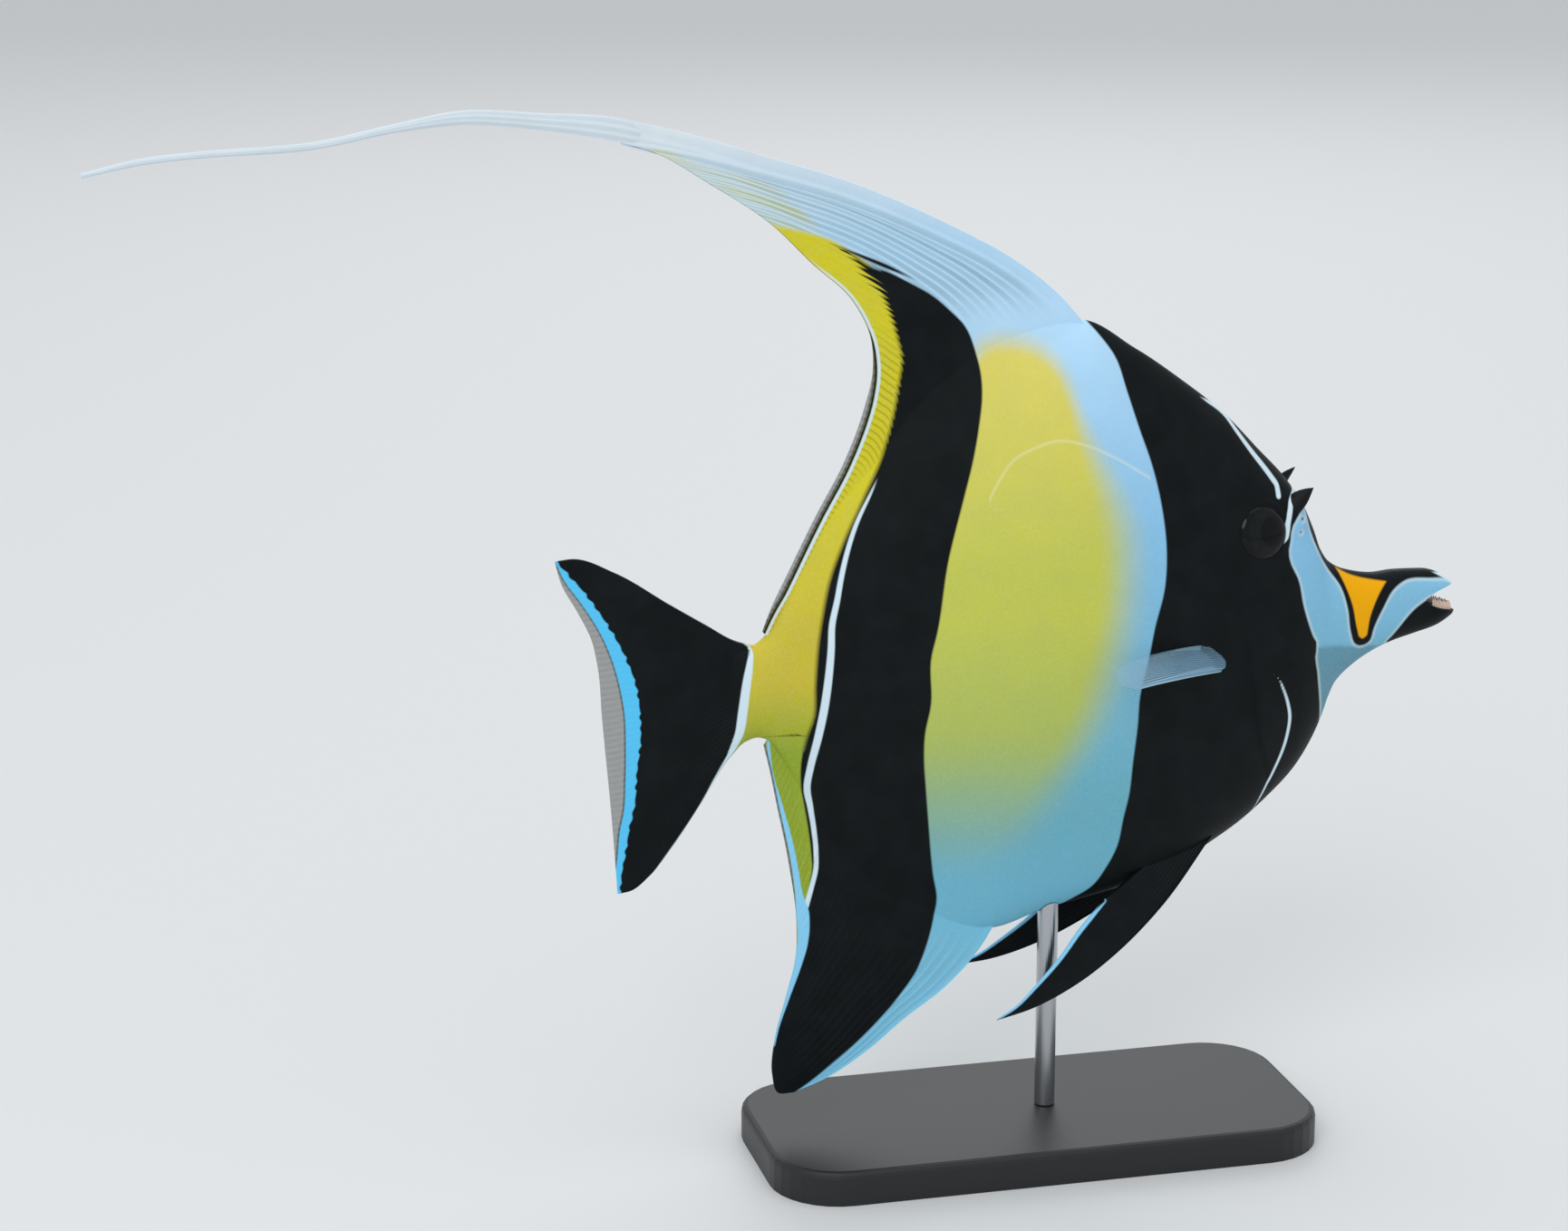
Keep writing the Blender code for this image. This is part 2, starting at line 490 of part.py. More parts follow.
def ray_rows(rays):
    """Share of the fin's width at each row of the mesh, and how high a ray's ridge stands there."""
    rows = (rays - 1) * ROWS_PER_RAY + 1
    phase = np.arange(rows) / ROWS_PER_RAY
    crest = (0.5 + 0.5 * np.cos(2 * math.pi * phase)) ** 2
    return np.linspace(0.0, 1.0, rows), crest


def patch(root, edge, first, last):
    """Surface between four boundary curves: straight blends both ways, less the corners' own blend."""
    rows, columns = len(root), len(first)
    u = np.linspace(0.0, 1.0, rows)[:, None, None]
    t = np.linspace(0.0, 1.0, columns)[None, :, None]
    across = (1 - t) * root[:, None] + t * edge[:, None]
    down = (1 - u) * first[None] + u * last[None]
    corners = ((1 - u) * ((1 - t) * root[0] + t * edge[0]) + u * ((1 - t) * root[-1] + t * edge[-1]))
    return across + down - corners


def fin_thickness(crest, columns, root_half, edge_half, ridge):
    t = np.linspace(0.0, 1.0, columns)[None, :]
    film = edge_half + (root_half - edge_half) * (1 - t) ** FILM_TAPER
    return film + ridge * crest[:, None] * (1 - RIDGE_FADE * t ** 2)


def upright(flat):
    """Turn a grid of x and z into points on the swayed middle surface."""
    return np.stack([flat[..., 0], sway(flat[..., 0]), flat[..., 1]], -1)


def sideways(half):
    return np.stack([np.zeros_like(half), half, np.zeros_like(half)], -1)


def seat_line(outline, start, end, share, outward):
    """Root of a fin: the body's outline between two x, moved out by the gap."""
    fine = np.linspace(start, end, 400)
    line = np.stack([fine, pchip(outline, fine)], -1)
    tangent = np.gradient(line, axis=0)
    tangent /= np.linalg.norm(tangent, axis=1)[:, None]
    normal = np.stack([-tangent[:, 1], tangent[:, 0]], -1) * outward
    line = line + normal * GAP
    length = np.concatenate([[0.0], np.cumsum(np.linalg.norm(np.diff(line, axis=0), axis=1))])
    at = share * length[-1]
    return np.stack([np.interp(at, length, line[:, 0]), np.interp(at, length, line[:, 1])], -1)


def unpaired_fin(name, rays, columns, half, root_at, lead, edge_at, rearmost, parts, finish):
    """Fin in the middle plane: root_at and edge_at give its root and edge at each ray's share."""
    share, crest = ray_rows(rays)
    root, edge = root_at(share), edge_at(share)
    first = curve([tuple(root[0]), *lead], np.linspace(0.0, 1.0, columns))
    last = curve([tuple(root[-1]), *rearmost], np.linspace(0.0, 1.0, columns))
    middle = upright(patch(root, edge, first, last))
    thickness = fin_thickness(crest, columns, *half, RIDGE)
    shaded(add_object(name, slab(name, middle, sideways(thickness)), parts, finish), FIN_CREASE)


def tail_root(share):
    """Root of the tail fin: a straight slanted line behind the stalk, with the gap between them."""
    top, foot = np.array(TAIL_TOP), np.array(TAIL_FOOT)
    lean = (top - foot) / np.linalg.norm(top - foot)
    drop = (TAIL_TOP[1] - np.array([TAIL_ROOT_TOP, TAIL_ROOT_FOOT])) / (TAIL_TOP[1] - TAIL_FOOT[1])
    start, end = top + (foot - top) * drop[0], top + (foot - top) * drop[1]
    return start + np.array([-lean[1], lean[0]]) * GAP + (end - start) * share[:, None]


def make_unpaired_fins(parts, finish):
    trail = [DORSAL_LEAD[-1], *DORSAL_TRAIL]
    unpaired_fin("dorsal_fin", RAYS["dorsal"], DORSAL_COLUMNS, UNPAIRED_HALF,
                 lambda share: seat_line(BACK, NAPE_X, DORSAL_END, share, -1), DORSAL_LEAD,
                 lambda share: curve(trail, pchip(DORSAL_SWEEP, share)), trail[-1:], parts, finish["dorsal"])
    rear = [ANAL_LEAD[-1], *ANAL_TRAIL]
    unpaired_fin("anal_fin", RAYS["anal"], TAIL_COLUMNS, UNPAIRED_HALF,
                 lambda share: seat_line(BELLY, VENT_X, ANAL_END, share, 1), ANAL_LEAD,
                 lambda share: curve(rear, pchip(ANAL_SWEEP, share)), rear[-1:], parts, finish["anal"])
    unpaired_fin("tail_fin", RAYS["tail"], TAIL_COLUMNS, TAIL_HALF, tail_root, TAIL_UPPER,
                 lambda share: curve(TAIL_EDGE, share), TAIL_LOWER, parts, finish["tail"])


def make_filament(parts, finish):
    """The dorsal fin's long filament: flat at its root and nearly round at the tip."""
    share = np.linspace(0.0, 1.0, FILAMENT_STATIONS)
    top, foot = curve(FILAMENT_TOP, share), curve(FILAMENT_FOOT, share)
    across = np.linspace(0.0, 1.0, len(FILAMENT_ROUND))
    flat = foot[:, None] + (top - foot)[:, None] * across[None, :, None]
    half = FILAMENT_HALF_ROOT + (FILAMENT_HALF_TIP - FILAMENT_HALF_ROOT) * share
    offset = sideways(half[:, None] * np.array(FILAMENT_ROUND)[None, :])
    filament = add_object("dorsal_filament", slab("dorsal_filament", upright(flat), offset), parts, finish)
    shaded(filament, FLESH_CREASE)


def make_pectorals(parts, grown_trunk, grown_head, finish):
    """Each pectoral: rays that fan from a short root on the flank, bowed up and drooping at the tips."""
    share, crest = ray_rows(RAYS["pectoral"])
    ray = (1 - share[:, None]) * np.array(PEC_FRONT_RAY) + share[:, None] * np.array(PEC_REAR_RAY)
    ray /= np.linalg.norm(ray, axis=1)[:, None]
    length = pchip(PEC_LENGTHS, share)[:, None, None]
    front, rear = np.array(PEC_ROOT_FRONT), np.array(PEC_ROOT_REAR)
    flat = front + (rear - front) * share[:, None]
    flank = half_thickness(flat[:, 0], flat[:, 1])
    root = np.stack([flat[:, 0], -flank, flat[:, 1]], -1)
    t = np.linspace(0.0, 1.0, PAIRED_COLUMNS)[None, :, None]
    rise = np.array([0.0, 0.0, 1.0]) * (PEC_BOW * np.sin(math.pi * t) - PEC_DROOP * t ** 2)
    bury = np.array([0.0, 1.0, 0.0]) * PEC_SUNK * (1 - t) ** 3
    middle = root[:, None] + ray[:, None] * length * t + bury + rise
    normal = np.cross(np.gradient(middle, axis=0), np.gradient(middle, axis=1))
    normal /= np.linalg.norm(normal, axis=-1)[..., None]
    half = fin_thickness(crest, PAIRED_COLUMNS, *PAIRED_HALF, RIDGE)
    offset = half[..., None] * normal
    for side, label in ((-1, "right"), (1, "left")):
        mirror = np.array([1.0, -side, 1.0])
        fin = add_object("pectoral_fin_" + label,
                         slab("pectoral_fin_" + label, middle * mirror, offset * mirror), parts, finish)
        cut(fin, grown_trunk)
        cut(fin, grown_head)
        settle(fin)
        shaded(fin, FIN_CREASE)


def make_pelvics(parts, grown_trunk, grown_head, finish):
    """Each pelvic: a long blade from the breast to a point, the left one raised a little more."""
    share, crest = ray_rows(RAYS["pelvic"])
    front, rear = np.array(PELVIC_LEAD[0]), np.array(PELVIC_ROOT_REAR)
    root = front + (rear - front) * share[:, None]
    edge = curve(PELVIC_INNER, share)
    first = curve(PELVIC_LEAD, np.linspace(0.0, 1.0, DORSAL_COLUMNS))
    last = curve([tuple(rear), PELVIC_INNER[-1]], np.linspace(0.0, 1.0, DORSAL_COLUMNS))
    flat = patch(root, edge, first, last)
    t = np.linspace(0.0, 1.0, DORSAL_COLUMNS)[None, :]
    u = share[:, None]
    swing = 1 - (1 - t) ** 2
    y_lead = PELVIC_Y_ROOT + (PELVIC_Y_LEAD - PELVIC_Y_ROOT) * swing
    y_inner = PELVIC_Y_ROOT + (PELVIC_Y_INNER - PELVIC_Y_ROOT) * swing
    wide = y_lead * (1 - u) + y_inner * u
    half = fin_thickness(crest, DORSAL_COLUMNS, *PAIRED_HALF, RIDGE)
    for side, label in ((-1, "right"), (1, "left")):
        lift = math.radians(PELVIC_LIFT[label])
        moved = flat - front
        x = front[0] + moved[..., 0] * math.cos(lift) + moved[..., 1] * math.sin(lift)
        z = front[1] - moved[..., 0] * math.sin(lift) + moved[..., 1] * math.cos(lift)
        middle = np.stack([x, side * wide, z], -1)
        fin = add_object("pelvic_fin_" + label, slab("pelvic_fin_" + label, middle, sideways(half)),
                         parts, finish)
        cut(fin, grown_trunk)
        cut(fin, grown_head)
        settle(fin)
        shaded(fin, FIN_CREASE)


def make_stand(parts, grown_trunk, plate_finish, rod_finish):
    """A flat plate with round corners, and one rod from it to the belly."""
    work = bmesh.new()
    bmesh.ops.create_cube(work, size=1.0)
    bmesh.ops.scale(work, vec=(BASE_LENGTH * MM, BASE_WIDTH * MM, BASE_HEIGHT * MM), verts=work.verts)
    bmesh.ops.translate(work, vec=(0.0, 0.0, BASE_HEIGHT * MM / 2), verts=work.verts)
    corners = [e for e in work.edges if abs(e.verts[0].co.z - e.verts[1].co.z) > 0.5 * BASE_HEIGHT * MM]
    bmesh.ops.bevel(work, geom=corners, offset=BASE_CORNER * MM, segments=8, profile=0.5, affect="EDGES")
    rim = [e for e in work.edges if min(v.co.z for v in e.verts) > 0.9 * BASE_HEIGHT * MM]
    bmesh.ops.bevel(work, geom=rim, offset=BASE_EDGE * MM, segments=3, profile=0.5, affect="EDGES")
    mesh = bpy.data.meshes.new("stand_base")
    work.to_mesh(mesh)
    work.free()
    base = add_object("stand_base", mesh, parts, plate_finish)
    shaded(base, LACQUER_CREASE)

    foot = BASE_HEIGHT + GAP
    height = VENT_Z + ROD_SUNK - foot
    bpy.ops.mesh.primitive_cylinder_add(vertices=28, radius=ROD_RADIUS * MM, depth=height * MM,
                                        location=(ROD_X * MM, 0.0, (foot + height / 2) * MM))
    rod = bpy.context.object
    for home in list(rod.users_collection):
        home.objects.unlink(rod)
    parts.objects.link(rod)
    rod.name = rod.data.name = "stand_rod"
    rod.data.materials.append(rod_finish)
    cut(rod, grown_trunk)
    settle(rod)
    shaded(rod, STEEL_CREASE)


def build():
    for leftover in list(bpy.data.objects):
        bpy.data.objects.remove(leftover)
    parts, cutters = collection("moorish_idol"), collection("cutters")
    black = material("black_skin", (0.006, 0.008, 0.010), 0.45)
    yellow = material("yellow_skin", (0.72, 0.62, 0.04), 0.45)
    white = material("white_fin", (0.48, 0.68, 0.80), 0.4)
    horn = material("horn", (0.02, 0.02, 0.02), 0.35)
    glass = material("eye", (0.01, 0.01, 0.012), 0.08)
    plate = material("stand_lacquer", (0.02, 0.02, 0.022), 0.3)
    steel = material("stand_steel", (0.55, 0.56, 0.58), 0.3, 1.0)

    flesh = make_flesh(parts, cutters, {"head": black, "upper_jaw": white, "lower_jaw": black,
                                        "trunk": yellow, "tail_stalk": yellow})
    make_eyes(parts, cutters, flesh["head"], glass)
    make_teeth(flesh["lower_jaw"], cutters)
    grown_head = add_object("grown_head", body_mesh("grown_head", True, SEAT_GAP), cutters)
    cut(grown_head, prism("grown_head_region", gill_outline(-GAP / 2) + [(64.0, 50.0), (120.0, 90.0),
                                                                         (120.0, 200.0)], cutters),
        "INTERSECT")
    settle(grown_head)
    grown_trunk = add_object("grown_trunk", body_mesh("grown_trunk", False, SEAT_GAP), cutters)
    make_horns(parts, grown_head, horn)
    make_unpaired_fins(parts, {"dorsal": white, "anal": black, "tail": black})
    make_filament(parts, white)
    make_pectorals(parts, grown_trunk, grown_head, white)
    make_pelvics(parts, grown_trunk, grown_head, black)
    make_stand(parts, grown_trunk, plate, steel)
    for piece in flesh.values():
        shaded(piece, FLESH_CREASE)


build()
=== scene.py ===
"""Looks of the moorish idol display model: its one skin, ribbed fins, eyes, thorns, teeth and stand.

Sizes are in millimetres in the frame of the solids, and a mesh turns them to metres when it is made.
The head points to +X and the back to +Z. Markings are drawn as distances from named lines in x and z,
so both sides and the fins carry the same ones.
"""
import math

import bmesh
import bpy
import numpy as np
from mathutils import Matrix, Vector


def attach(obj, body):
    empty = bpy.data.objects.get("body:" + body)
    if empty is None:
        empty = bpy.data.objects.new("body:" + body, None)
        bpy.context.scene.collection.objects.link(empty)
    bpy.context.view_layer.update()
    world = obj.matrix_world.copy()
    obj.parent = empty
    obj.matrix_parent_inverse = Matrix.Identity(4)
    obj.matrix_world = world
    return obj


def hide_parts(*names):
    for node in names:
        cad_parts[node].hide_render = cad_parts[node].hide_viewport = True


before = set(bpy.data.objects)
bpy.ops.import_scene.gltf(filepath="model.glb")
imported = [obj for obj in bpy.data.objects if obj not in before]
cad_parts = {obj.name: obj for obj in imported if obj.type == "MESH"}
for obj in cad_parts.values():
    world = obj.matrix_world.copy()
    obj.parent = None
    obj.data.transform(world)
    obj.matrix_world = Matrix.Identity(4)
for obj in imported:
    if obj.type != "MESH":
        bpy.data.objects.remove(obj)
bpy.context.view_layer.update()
MM = 0.001
SIDES = [(-1, "right"), (1, "left")]

# Body sizes, as in the solids
LIP_X, LIP_Z = 102.0, 127.0
NAPE_X, NAPE_Z = 9.0, 195.2
VENT_X, VENT_Z = -10.0, 53.2
TAIL_END_X = -73.0
BACK = [(-74.0, 125.0), (-67.2, 124.8), (-63.2, 127.4), (-60.0, 133.0), (-55.3, 141.4), (-48.6, 153.5),
        (-44.0, 159.6), (-38.5, 166.2), (-31.5, 176.0), (-23.0, 185.0), (-9.0, 193.4), (NAPE_X, NAPE_Z),
        (22.1, 188.2), (32.7, 180.9), (43.6, 172.3), (51.8, 163.9), (58.4, 157.0), (62.0, 152.0),
        (65.3, 145.6), (67.3, 140.4), (70.2, 136.2), (74.8, 133.7), (81.8, 132.5), (87.0, 132.9),
        (94.0, 132.7), (97.6, 131.8), (99.8, 130.6), (101.0, 129.4), (101.7, 128.2), (LIP_X, LIP_Z)]
BELLY = [(-74.0, 101.4), (-70.2, 101.9), (-68.8, 102.8), (-66.0, 103.6), (-63.4, 102.8), (-60.0, 98.2),
         (-55.5, 90.0), (-50.5, 80.4), (-44.0, 70.6), (-36.0, 62.6), (-26.0, 57.0), (VENT_X, VENT_Z),
         (3.5, 56.9), (13.7, 58.9), (27.0, 62.2), (36.6, 66.2), (43.6, 70.4), (49.6, 74.4), (57.9, 81.6),
         (62.3, 86.2), (65.5, 91.0), (68.4, 97.2), (69.8, 101.6), (71.9, 106.3), (75.8, 110.2), (81.9, 114.0),
         (86.6, 115.9), (92.3, 117.5), (97.2, 118.9), (100.4, 120.8), (101.7, 122.0), (LIP_X, LIP_Z - 3.0)]
GIRTH = [(-74.0, 1.2), (-71.5, 2.1), (-68.5, 3.2), (-65.0, 3.75), (-58.0, 4.6), (-48.0, 6.2), (-36.0, 8.0),
         (-22.0, 10.2), (-6.0, 12.2), (10.0, 13.3), (26.0, 13.9), (38.0, 13.8), (47.0, 13.2), (55.0, 12.2),
         (61.0, 10.8), (66.0, 8.9), (70.0, 7.2), (75.0, 5.9), (81.0, 5.0), (88.0, 4.5), (94.0, 4.3),
         (98.6, 3.7), (101.4, 2.5), (LIP_X, 1.1)]
ROUNDNESS = [(-74.0, 0.5), (-60.0, 0.6), (-40.0, 0.8), (0.0, 0.72), (40.0, 0.56), (62.0, 0.5), (LIP_X, 0.5)]
OVAL_POWER = 2.4                    # a power of 2 is an ellipse, and more is squarer
SKIN_STATIONS, SKIN_ROWS = 350, 124
SKIN_CREASE, FIN_CREASE = 50.0, 60.0    # edges that turn by more than this stay sharp, in degrees
FIN_SEAT, KEEL = 0.5, 0.4           # the skin's edge hides inside the fins, whose roots flare to meet it
FIN_SUNK, ROOT_FLARE, FLARE_REACH = 4.5, 0.35, 4.0
FIN_LEAN, LEAN_RUN = 0.45, 22.0     # how much the flank leans in under a fin, and how soon along x
# Local swellings of the flank: x, z, reach along x, reach along z, height
SWELLINGS = {"brow": (60.0, 151.0, 4.0, 4.5, 2.0), "cheek": (60.0, 118.0, 12.0, 14.0, 0.6),
             "upper lip": (98.5, 129.6, 3.4, 2.0, 0.5), "lower lip": (98.5, 122.6, 3.6, 2.2, 0.5),
             "shoulder": (36.0, 116.0, 9.0, 9.0, 0.5), "nostril rim": (60.8, 146.6, 2.0, 2.4, 0.35)}
GILL_LINE = [(30.0, 188.0), (35.5, 171.0), (39.0, 156.0), (41.2, 143.0), (43.6, 131.0), (46.4, 120.0),
             (47.8, 112.0), (49.0, 104.0), (51.2, 95.0), (54.4, 86.0), (58.6, 76.0), (60.6, 71.0)]
GILL_FLARE, GILL_REACH, GILL_TOP, GILL_FOOT = 0.7, 9.0, 132.0, 92.0
# How far the gill cover stands out where its edge runs faint, and up and down to where it does
GILL_FAINT, GILL_FAINT_TOP, GILL_FAINT_FOOT = 0.12, 152.0, 78.0
MOUTH_CORNER = (93.4, 126.2)
MOUTH_CUT_HALF = 12.0               # the cut is wider than the snout
UPPER_LIP_EDGE = [(96.8, 128.2), (99.6, 129.1), (104.0, 129.3)]
LOWER_LIP_EDGE = [(95.0, 124.8), (97.2, 123.8), (99.6, 123.2), (104.0, 122.3)]
EYE_X, EYE_Z, EYE_Y = 49.9, 146.3, 10.15
EYE_RADIUS, EYE_DEPTH, EYE_TURN, EYE_TILT = 6.3, 2.3, 11.0, 10.5
PUPIL_AHEAD, PUPIL_UP = 1.8, 0.1    # from the eye's middle
# The flank's plane at the eye: its distance from the middle, and its slopes along x and z
ORBIT = (10.9, -0.196, -0.186)
# Raised rims of the eye's dish and the nostrils: height, distance past the edge, reach
ORBIT_RIM, NOSTRIL_RIM = (0.32, 0.35, 0.45), (0.12, 0.4, 0.4)
PIT_DEPTH = 0.5
NOSTRILS = [(60.6, 148.3, 0.7), (60.0, 145.4, 0.5)]
SWAY_START, SWAY_RUN, SWAY_GAIN = -45.0, 60.0, 0.12

# Fins, as in the solids
DORSAL_LEAD = [(4.5, 200.3), (0.4, 204.1), (-6.6, 209.3), (-22.2, 218.0), (-43.9, 227.8), (-64.9, 234.8),
               (-78.9, 239.4), (-95.8, 243.8)]
DORSAL_TRAIL = [(-95.9, 238.6), (-88.7, 236.3), (-76.2, 228.9), (-62.2, 219.4), (-53.0, 210.4),
                (-43.7, 201.7), (-39.5, 193.1), (-39.0, 186.6), (-41.1, 177.1), (-45.6, 165.4),
                (-52.1, 153.5), (-58.2, 141.5), (-63.2, 131.2), (-64.4, 127.9)]
DORSAL_SWEEP = [(0.0, 0.0), (0.257, 0.27), (0.371, 0.467), (0.537, 0.64), (0.82, 0.86), (1.0, 1.0)]
DORSAL_END_X, ANAL_END_X = -63.6, -63.2
FILAMENT_TOP = [(-89.0, 241.9), (-96.2, 243.9), (-113.5, 245.7), (-131.1, 246.9), (-144.1, 244.9),
                (-161.3, 241.9), (-186.6, 240.9), (-197.0, 240.2), (-210.1, 237.7)]
FILAMENT_FOOT = [(-89.0, 237.0), (-96.3, 238.7), (-113.5, 242.0), (-131.2, 243.9), (-144.1, 243.0),
                 (-161.3, 240.3), (-186.6, 239.5), (-197.0, 238.8), (-209.9, 236.7)]
ANAL_LEAD = [(-11.8, 50.1), (-21.3, 39.6), (-30.5, 33.0), (-40.0, 25.4), (-49.2, 19.8), (-57.2, 16.9)]
ANAL_TRAIL = [(-61.0, 17.3), (-62.2, 21.5), (-61.5, 31.0), (-58.8, 41.0), (-56.6, 50.0), (-56.4, 58.0),
              (-58.4, 73.6), (-61.0, 86.5), (-63.2, 97.3), (-64.2, 101.4)]
ANAL_SWEEP = [(0.0, 0.0), (0.17, 0.045), (0.36, 0.17), (0.51, 0.31), (0.66, 0.48), (0.80, 0.69), (1.0, 1.0)]
TAIL_TOP, TAIL_FOOT = (-66.6, 130.0), (-70.6, 98.0)
TAIL_ROOT_TOP, TAIL_ROOT_FOOT = 124.6, 103.8
TAIL_UPPER = [(-70.6, 126.2), (-77.8, 130.7), (-85.7, 135.8), (-98.4, 144.2), (-107.6, 148.1),
              (-111.9, 147.9)]
TAIL_LOWER = [(-72.6, 99.0), (-79.3, 89.0), (-86.1, 79.3), (-91.4, 73.2), (-95.3, 70.4), (-98.6, 69.9)]
TAIL_EDGE = [(-111.9, 147.9), (-110.6, 142.9), (-106.8, 135.7), (-104.0, 129.8), (-102.4, 122.3),
             (-101.7, 111.6), (-101.0, 103.1), (-100.2, 93.7), (-99.3, 81.5), (-98.6, 69.9)]
PEC_ROOT_FRONT, PEC_ROOT_REAR = (45.0, 115.6), (42.2, 120.2)
PEC_FRONT_RAY, PEC_REAR_RAY = (-0.91, -0.40, 0.06), (-0.96, -0.17, 0.12)
PEC_LENGTHS = [(0.0, 32.0), (0.22, 37.0), (0.45, 36.5), (0.75, 30.0), (1.0, 20.0)]
PEC_SUNK, PEC_DROOP, PEC_BOW, PEC_ROOT_BULGE = 3.0, 1.4, 0.5, 3.0
ROWS_PER_RAY, TAIL_SUNK = 8, 1.6
WEB = (0.8, 0.3, 0.15)              # half a fin's thickness at its root and edge, and how high its rays stand
RAY_REACH = 0.15                    # a ray's reach, as a share of the way to the next
THORN_TOP = [(57.2, 5.4, 152.6), (59.0, 6.4, 154.4), (60.8, 7.2, 155.2), (63.0, 8.0, 155.6)]
THORN_FOOT = [(56.4, 7.6, 146.8), (58.6, 8.4, 148.9), (61.2, 8.4, 151.9), (63.0, 8.0, 155.6)]
THORN_HALF = 1.7
THORN_LEFT_REACH = (1.8, 0.0, 1.3)  # how much further the left thorn's tip stands out, as in the photograph
TEETH, TOOTH_LENGTH, TOOTH_RADIUS, TOOTH_FOOT, TOOTH_SLOPE = 29, 2.3, 0.3, 123.6, -0.27
TOOTH_ROW = [(96.0, -2.8), (98.6, -2.6), (100.6, -1.7), (101.4, 0.0), (100.6, 1.7), (98.6, 2.6), (96.0, 2.8)]
PELVIC_ROOT_REAR = (27.0, 68.0)
PELVIC_LEAD = [(42.0, 73.1), (29.7, 57.6), (19.7, 48.2), (9.2, 40.8), (-1.8, 35.6), (-10.6, 33.3)]
PELVIC_INNER = [(-10.9, 33.6), (-6.0, 36.4), (-1.4, 40.6), (4.2, 46.3), (10.4, 54.0), (15.8, 59.4)]
PELVIC_Y_ROOT, PELVIC_Y_LEAD, PELVIC_Y_INNER = 3.9, 8.2, 5.4
PELVIC_LIFT = {"right": 0.0, "left": 8.5}

# Markings: lines in x and z
EDGE, THIN_EDGE, CLEAR_EDGE = 0.22, 0.16, 0.15     # half the width over which two colours meet
FAR = 9.0                           # a distance at which nothing is painted
BEHIND_X = -31.0                    # the yellow behind the second band lies further back
MARGIN_X = -38.0                    # the dorsal fin's clear margin lies further back
BAND1_REAR = [(7.0, 199.0), (9.8, 195.5), (12.9, 191.7), (15.7, 187.5), (17.7, 180.3), (20.3, 171.3),
              (22.6, 164.3), (24.9, 154.1), (25.9, 145.8), (26.0, 141.3), (25.6, 135.5), (23.6, 127.2),
              (21.9, 117.7), (20.5, 111.3), (20.2, 103.7), (19.6, 94.9), (19.2, 85.9), (18.5, 81.2),
              (17.7, 72.9), (15.9, 67.6), (13.3, 62.4), (8.7, 59.0), (2.0, 54.0), (20.0, 50.0)]
BAND1_FRONT = [(46.0, 196.0), (66.0, 170.0), (66.0, 158.0), (62.0, 152.4), (59.4, 149.7), (58.0, 147.9),
               (57.2, 145.6), (57.0, 144.5), (57.0, 143.6), (56.4, 141.3), (56.9, 139.0), (59.0, 134.8),
               (60.3, 128.8), (63.0, 121.4), (64.5, 118.3), (64.2, 117.6), (65.0, 111.7), (66.2, 105.5),
               (67.6, 99.0), (69.0, 94.0), (70.0, 86.0), (40.0, 60.0)]
BAND2_FRONT = [(-46.4, 213.8), (-40.3, 209.7), (-35.5, 207.8), (-30.0, 204.9), (-25.8, 202.4), (-21.6, 198.8),
               (-18.0, 195.0), (-15.9, 190.0), (-14.8, 185.0), (-14.8, 179.6), (-15.8, 173.7), (-17.6, 165.8),
               (-19.9, 157.9), (-23.8, 143.7), (-26.4, 127.2), (-27.6, 122.0), (-27.6, 110.3),
               (-28.7, 104.4), (-28.8, 97.9), (-28.2, 91.7), (-27.1, 82.5), (-25.0, 68.4), (-23.6, 61.8),
               (-23.9, 57.5), (-25.3, 51.1), (-28.2, 43.7), (-31.8, 38.6), (-36.8, 32.9), (-41.8, 28.1),
               (-47.6, 23.4), (-53.3, 19.1), (-57.2, 16.6), (-60.0, 14.0)]
BAND2_REAR = [(-46.4, 213.8), (-43.0, 210.5), (-41.0, 207.7), (-37.5, 203.6), (-35.4, 198.8), (-33.7, 193.3),
              (-32.6, 188.6), (-33.2, 183.2), (-34.7, 174.8), (-37.2, 166.5), (-41.6, 157.5), (-46.4, 148.0),
              (-49.7, 140.0), (-51.6, 132.2), (-52.7, 126.0), (-53.5, 116.4), (-53.8, 108.3), (-55.1, 104.2),
              (-56.1, 98.3), (-55.8, 92.0), (-54.8, 86.5), (-53.8, 80.6), (-53.1, 74.7), (-52.9, 71.4),
              (-53.6, 66.8), (-54.0, 62.0), (-54.0, 56.4), (-56.2, 48.2), (-59.3, 40.9), (-61.0, 33.4),
              (-61.8, 30.1), (-64.5, 27.0), (-66.0, 18.0)]
# Pale lines; PALE_LINES gives half the width of each along its length
WHITE_LINE = [(-37.1, 164.2), (-39.9, 158.6), (-43.3, 152.1), (-47.3, 140.0), (-48.3, 135.3), (-49.6, 129.8),
              (-49.9, 124.3), (-50.4, 118.7), (-51.3, 111.5), (-52.6, 104.1), (-54.0, 96.6), (-54.4, 91.0),
              (-53.4, 86.0), (-52.5, 80.5), (-52.0, 75.5), (-52.0, 71.3), (-53.1, 66.4), (-54.2, 62.3)]
BROW_LINE = [(36.6, 177.0), (38.3, 176.0), (42.9, 172.6), (45.4, 168.9), (49.1, 163.7), (51.4, 160.8),
             (53.6, 157.8), (54.5, 156.4), (54.6, 155.2), (54.6, 154.0)]
LORE_LINE = [(54.5, 142.9), (55.6, 144.6), (56.1, 146.4), (56.6, 148.8), (57.1, 150.9), (57.7, 152.8),
             (58.9, 154.0), (60.9, 154.8)]
CRESCENT = [(52.6, 113.6), (54.0, 112.4), (55.6, 109.6), (57.1, 106.0), (58.0, 102.5),
            (57.8, 97.9), (56.9, 93.4), (55.4, 88.8), (53.9, 84.1), (52.7, 79.6), (51.6, 74.5)]
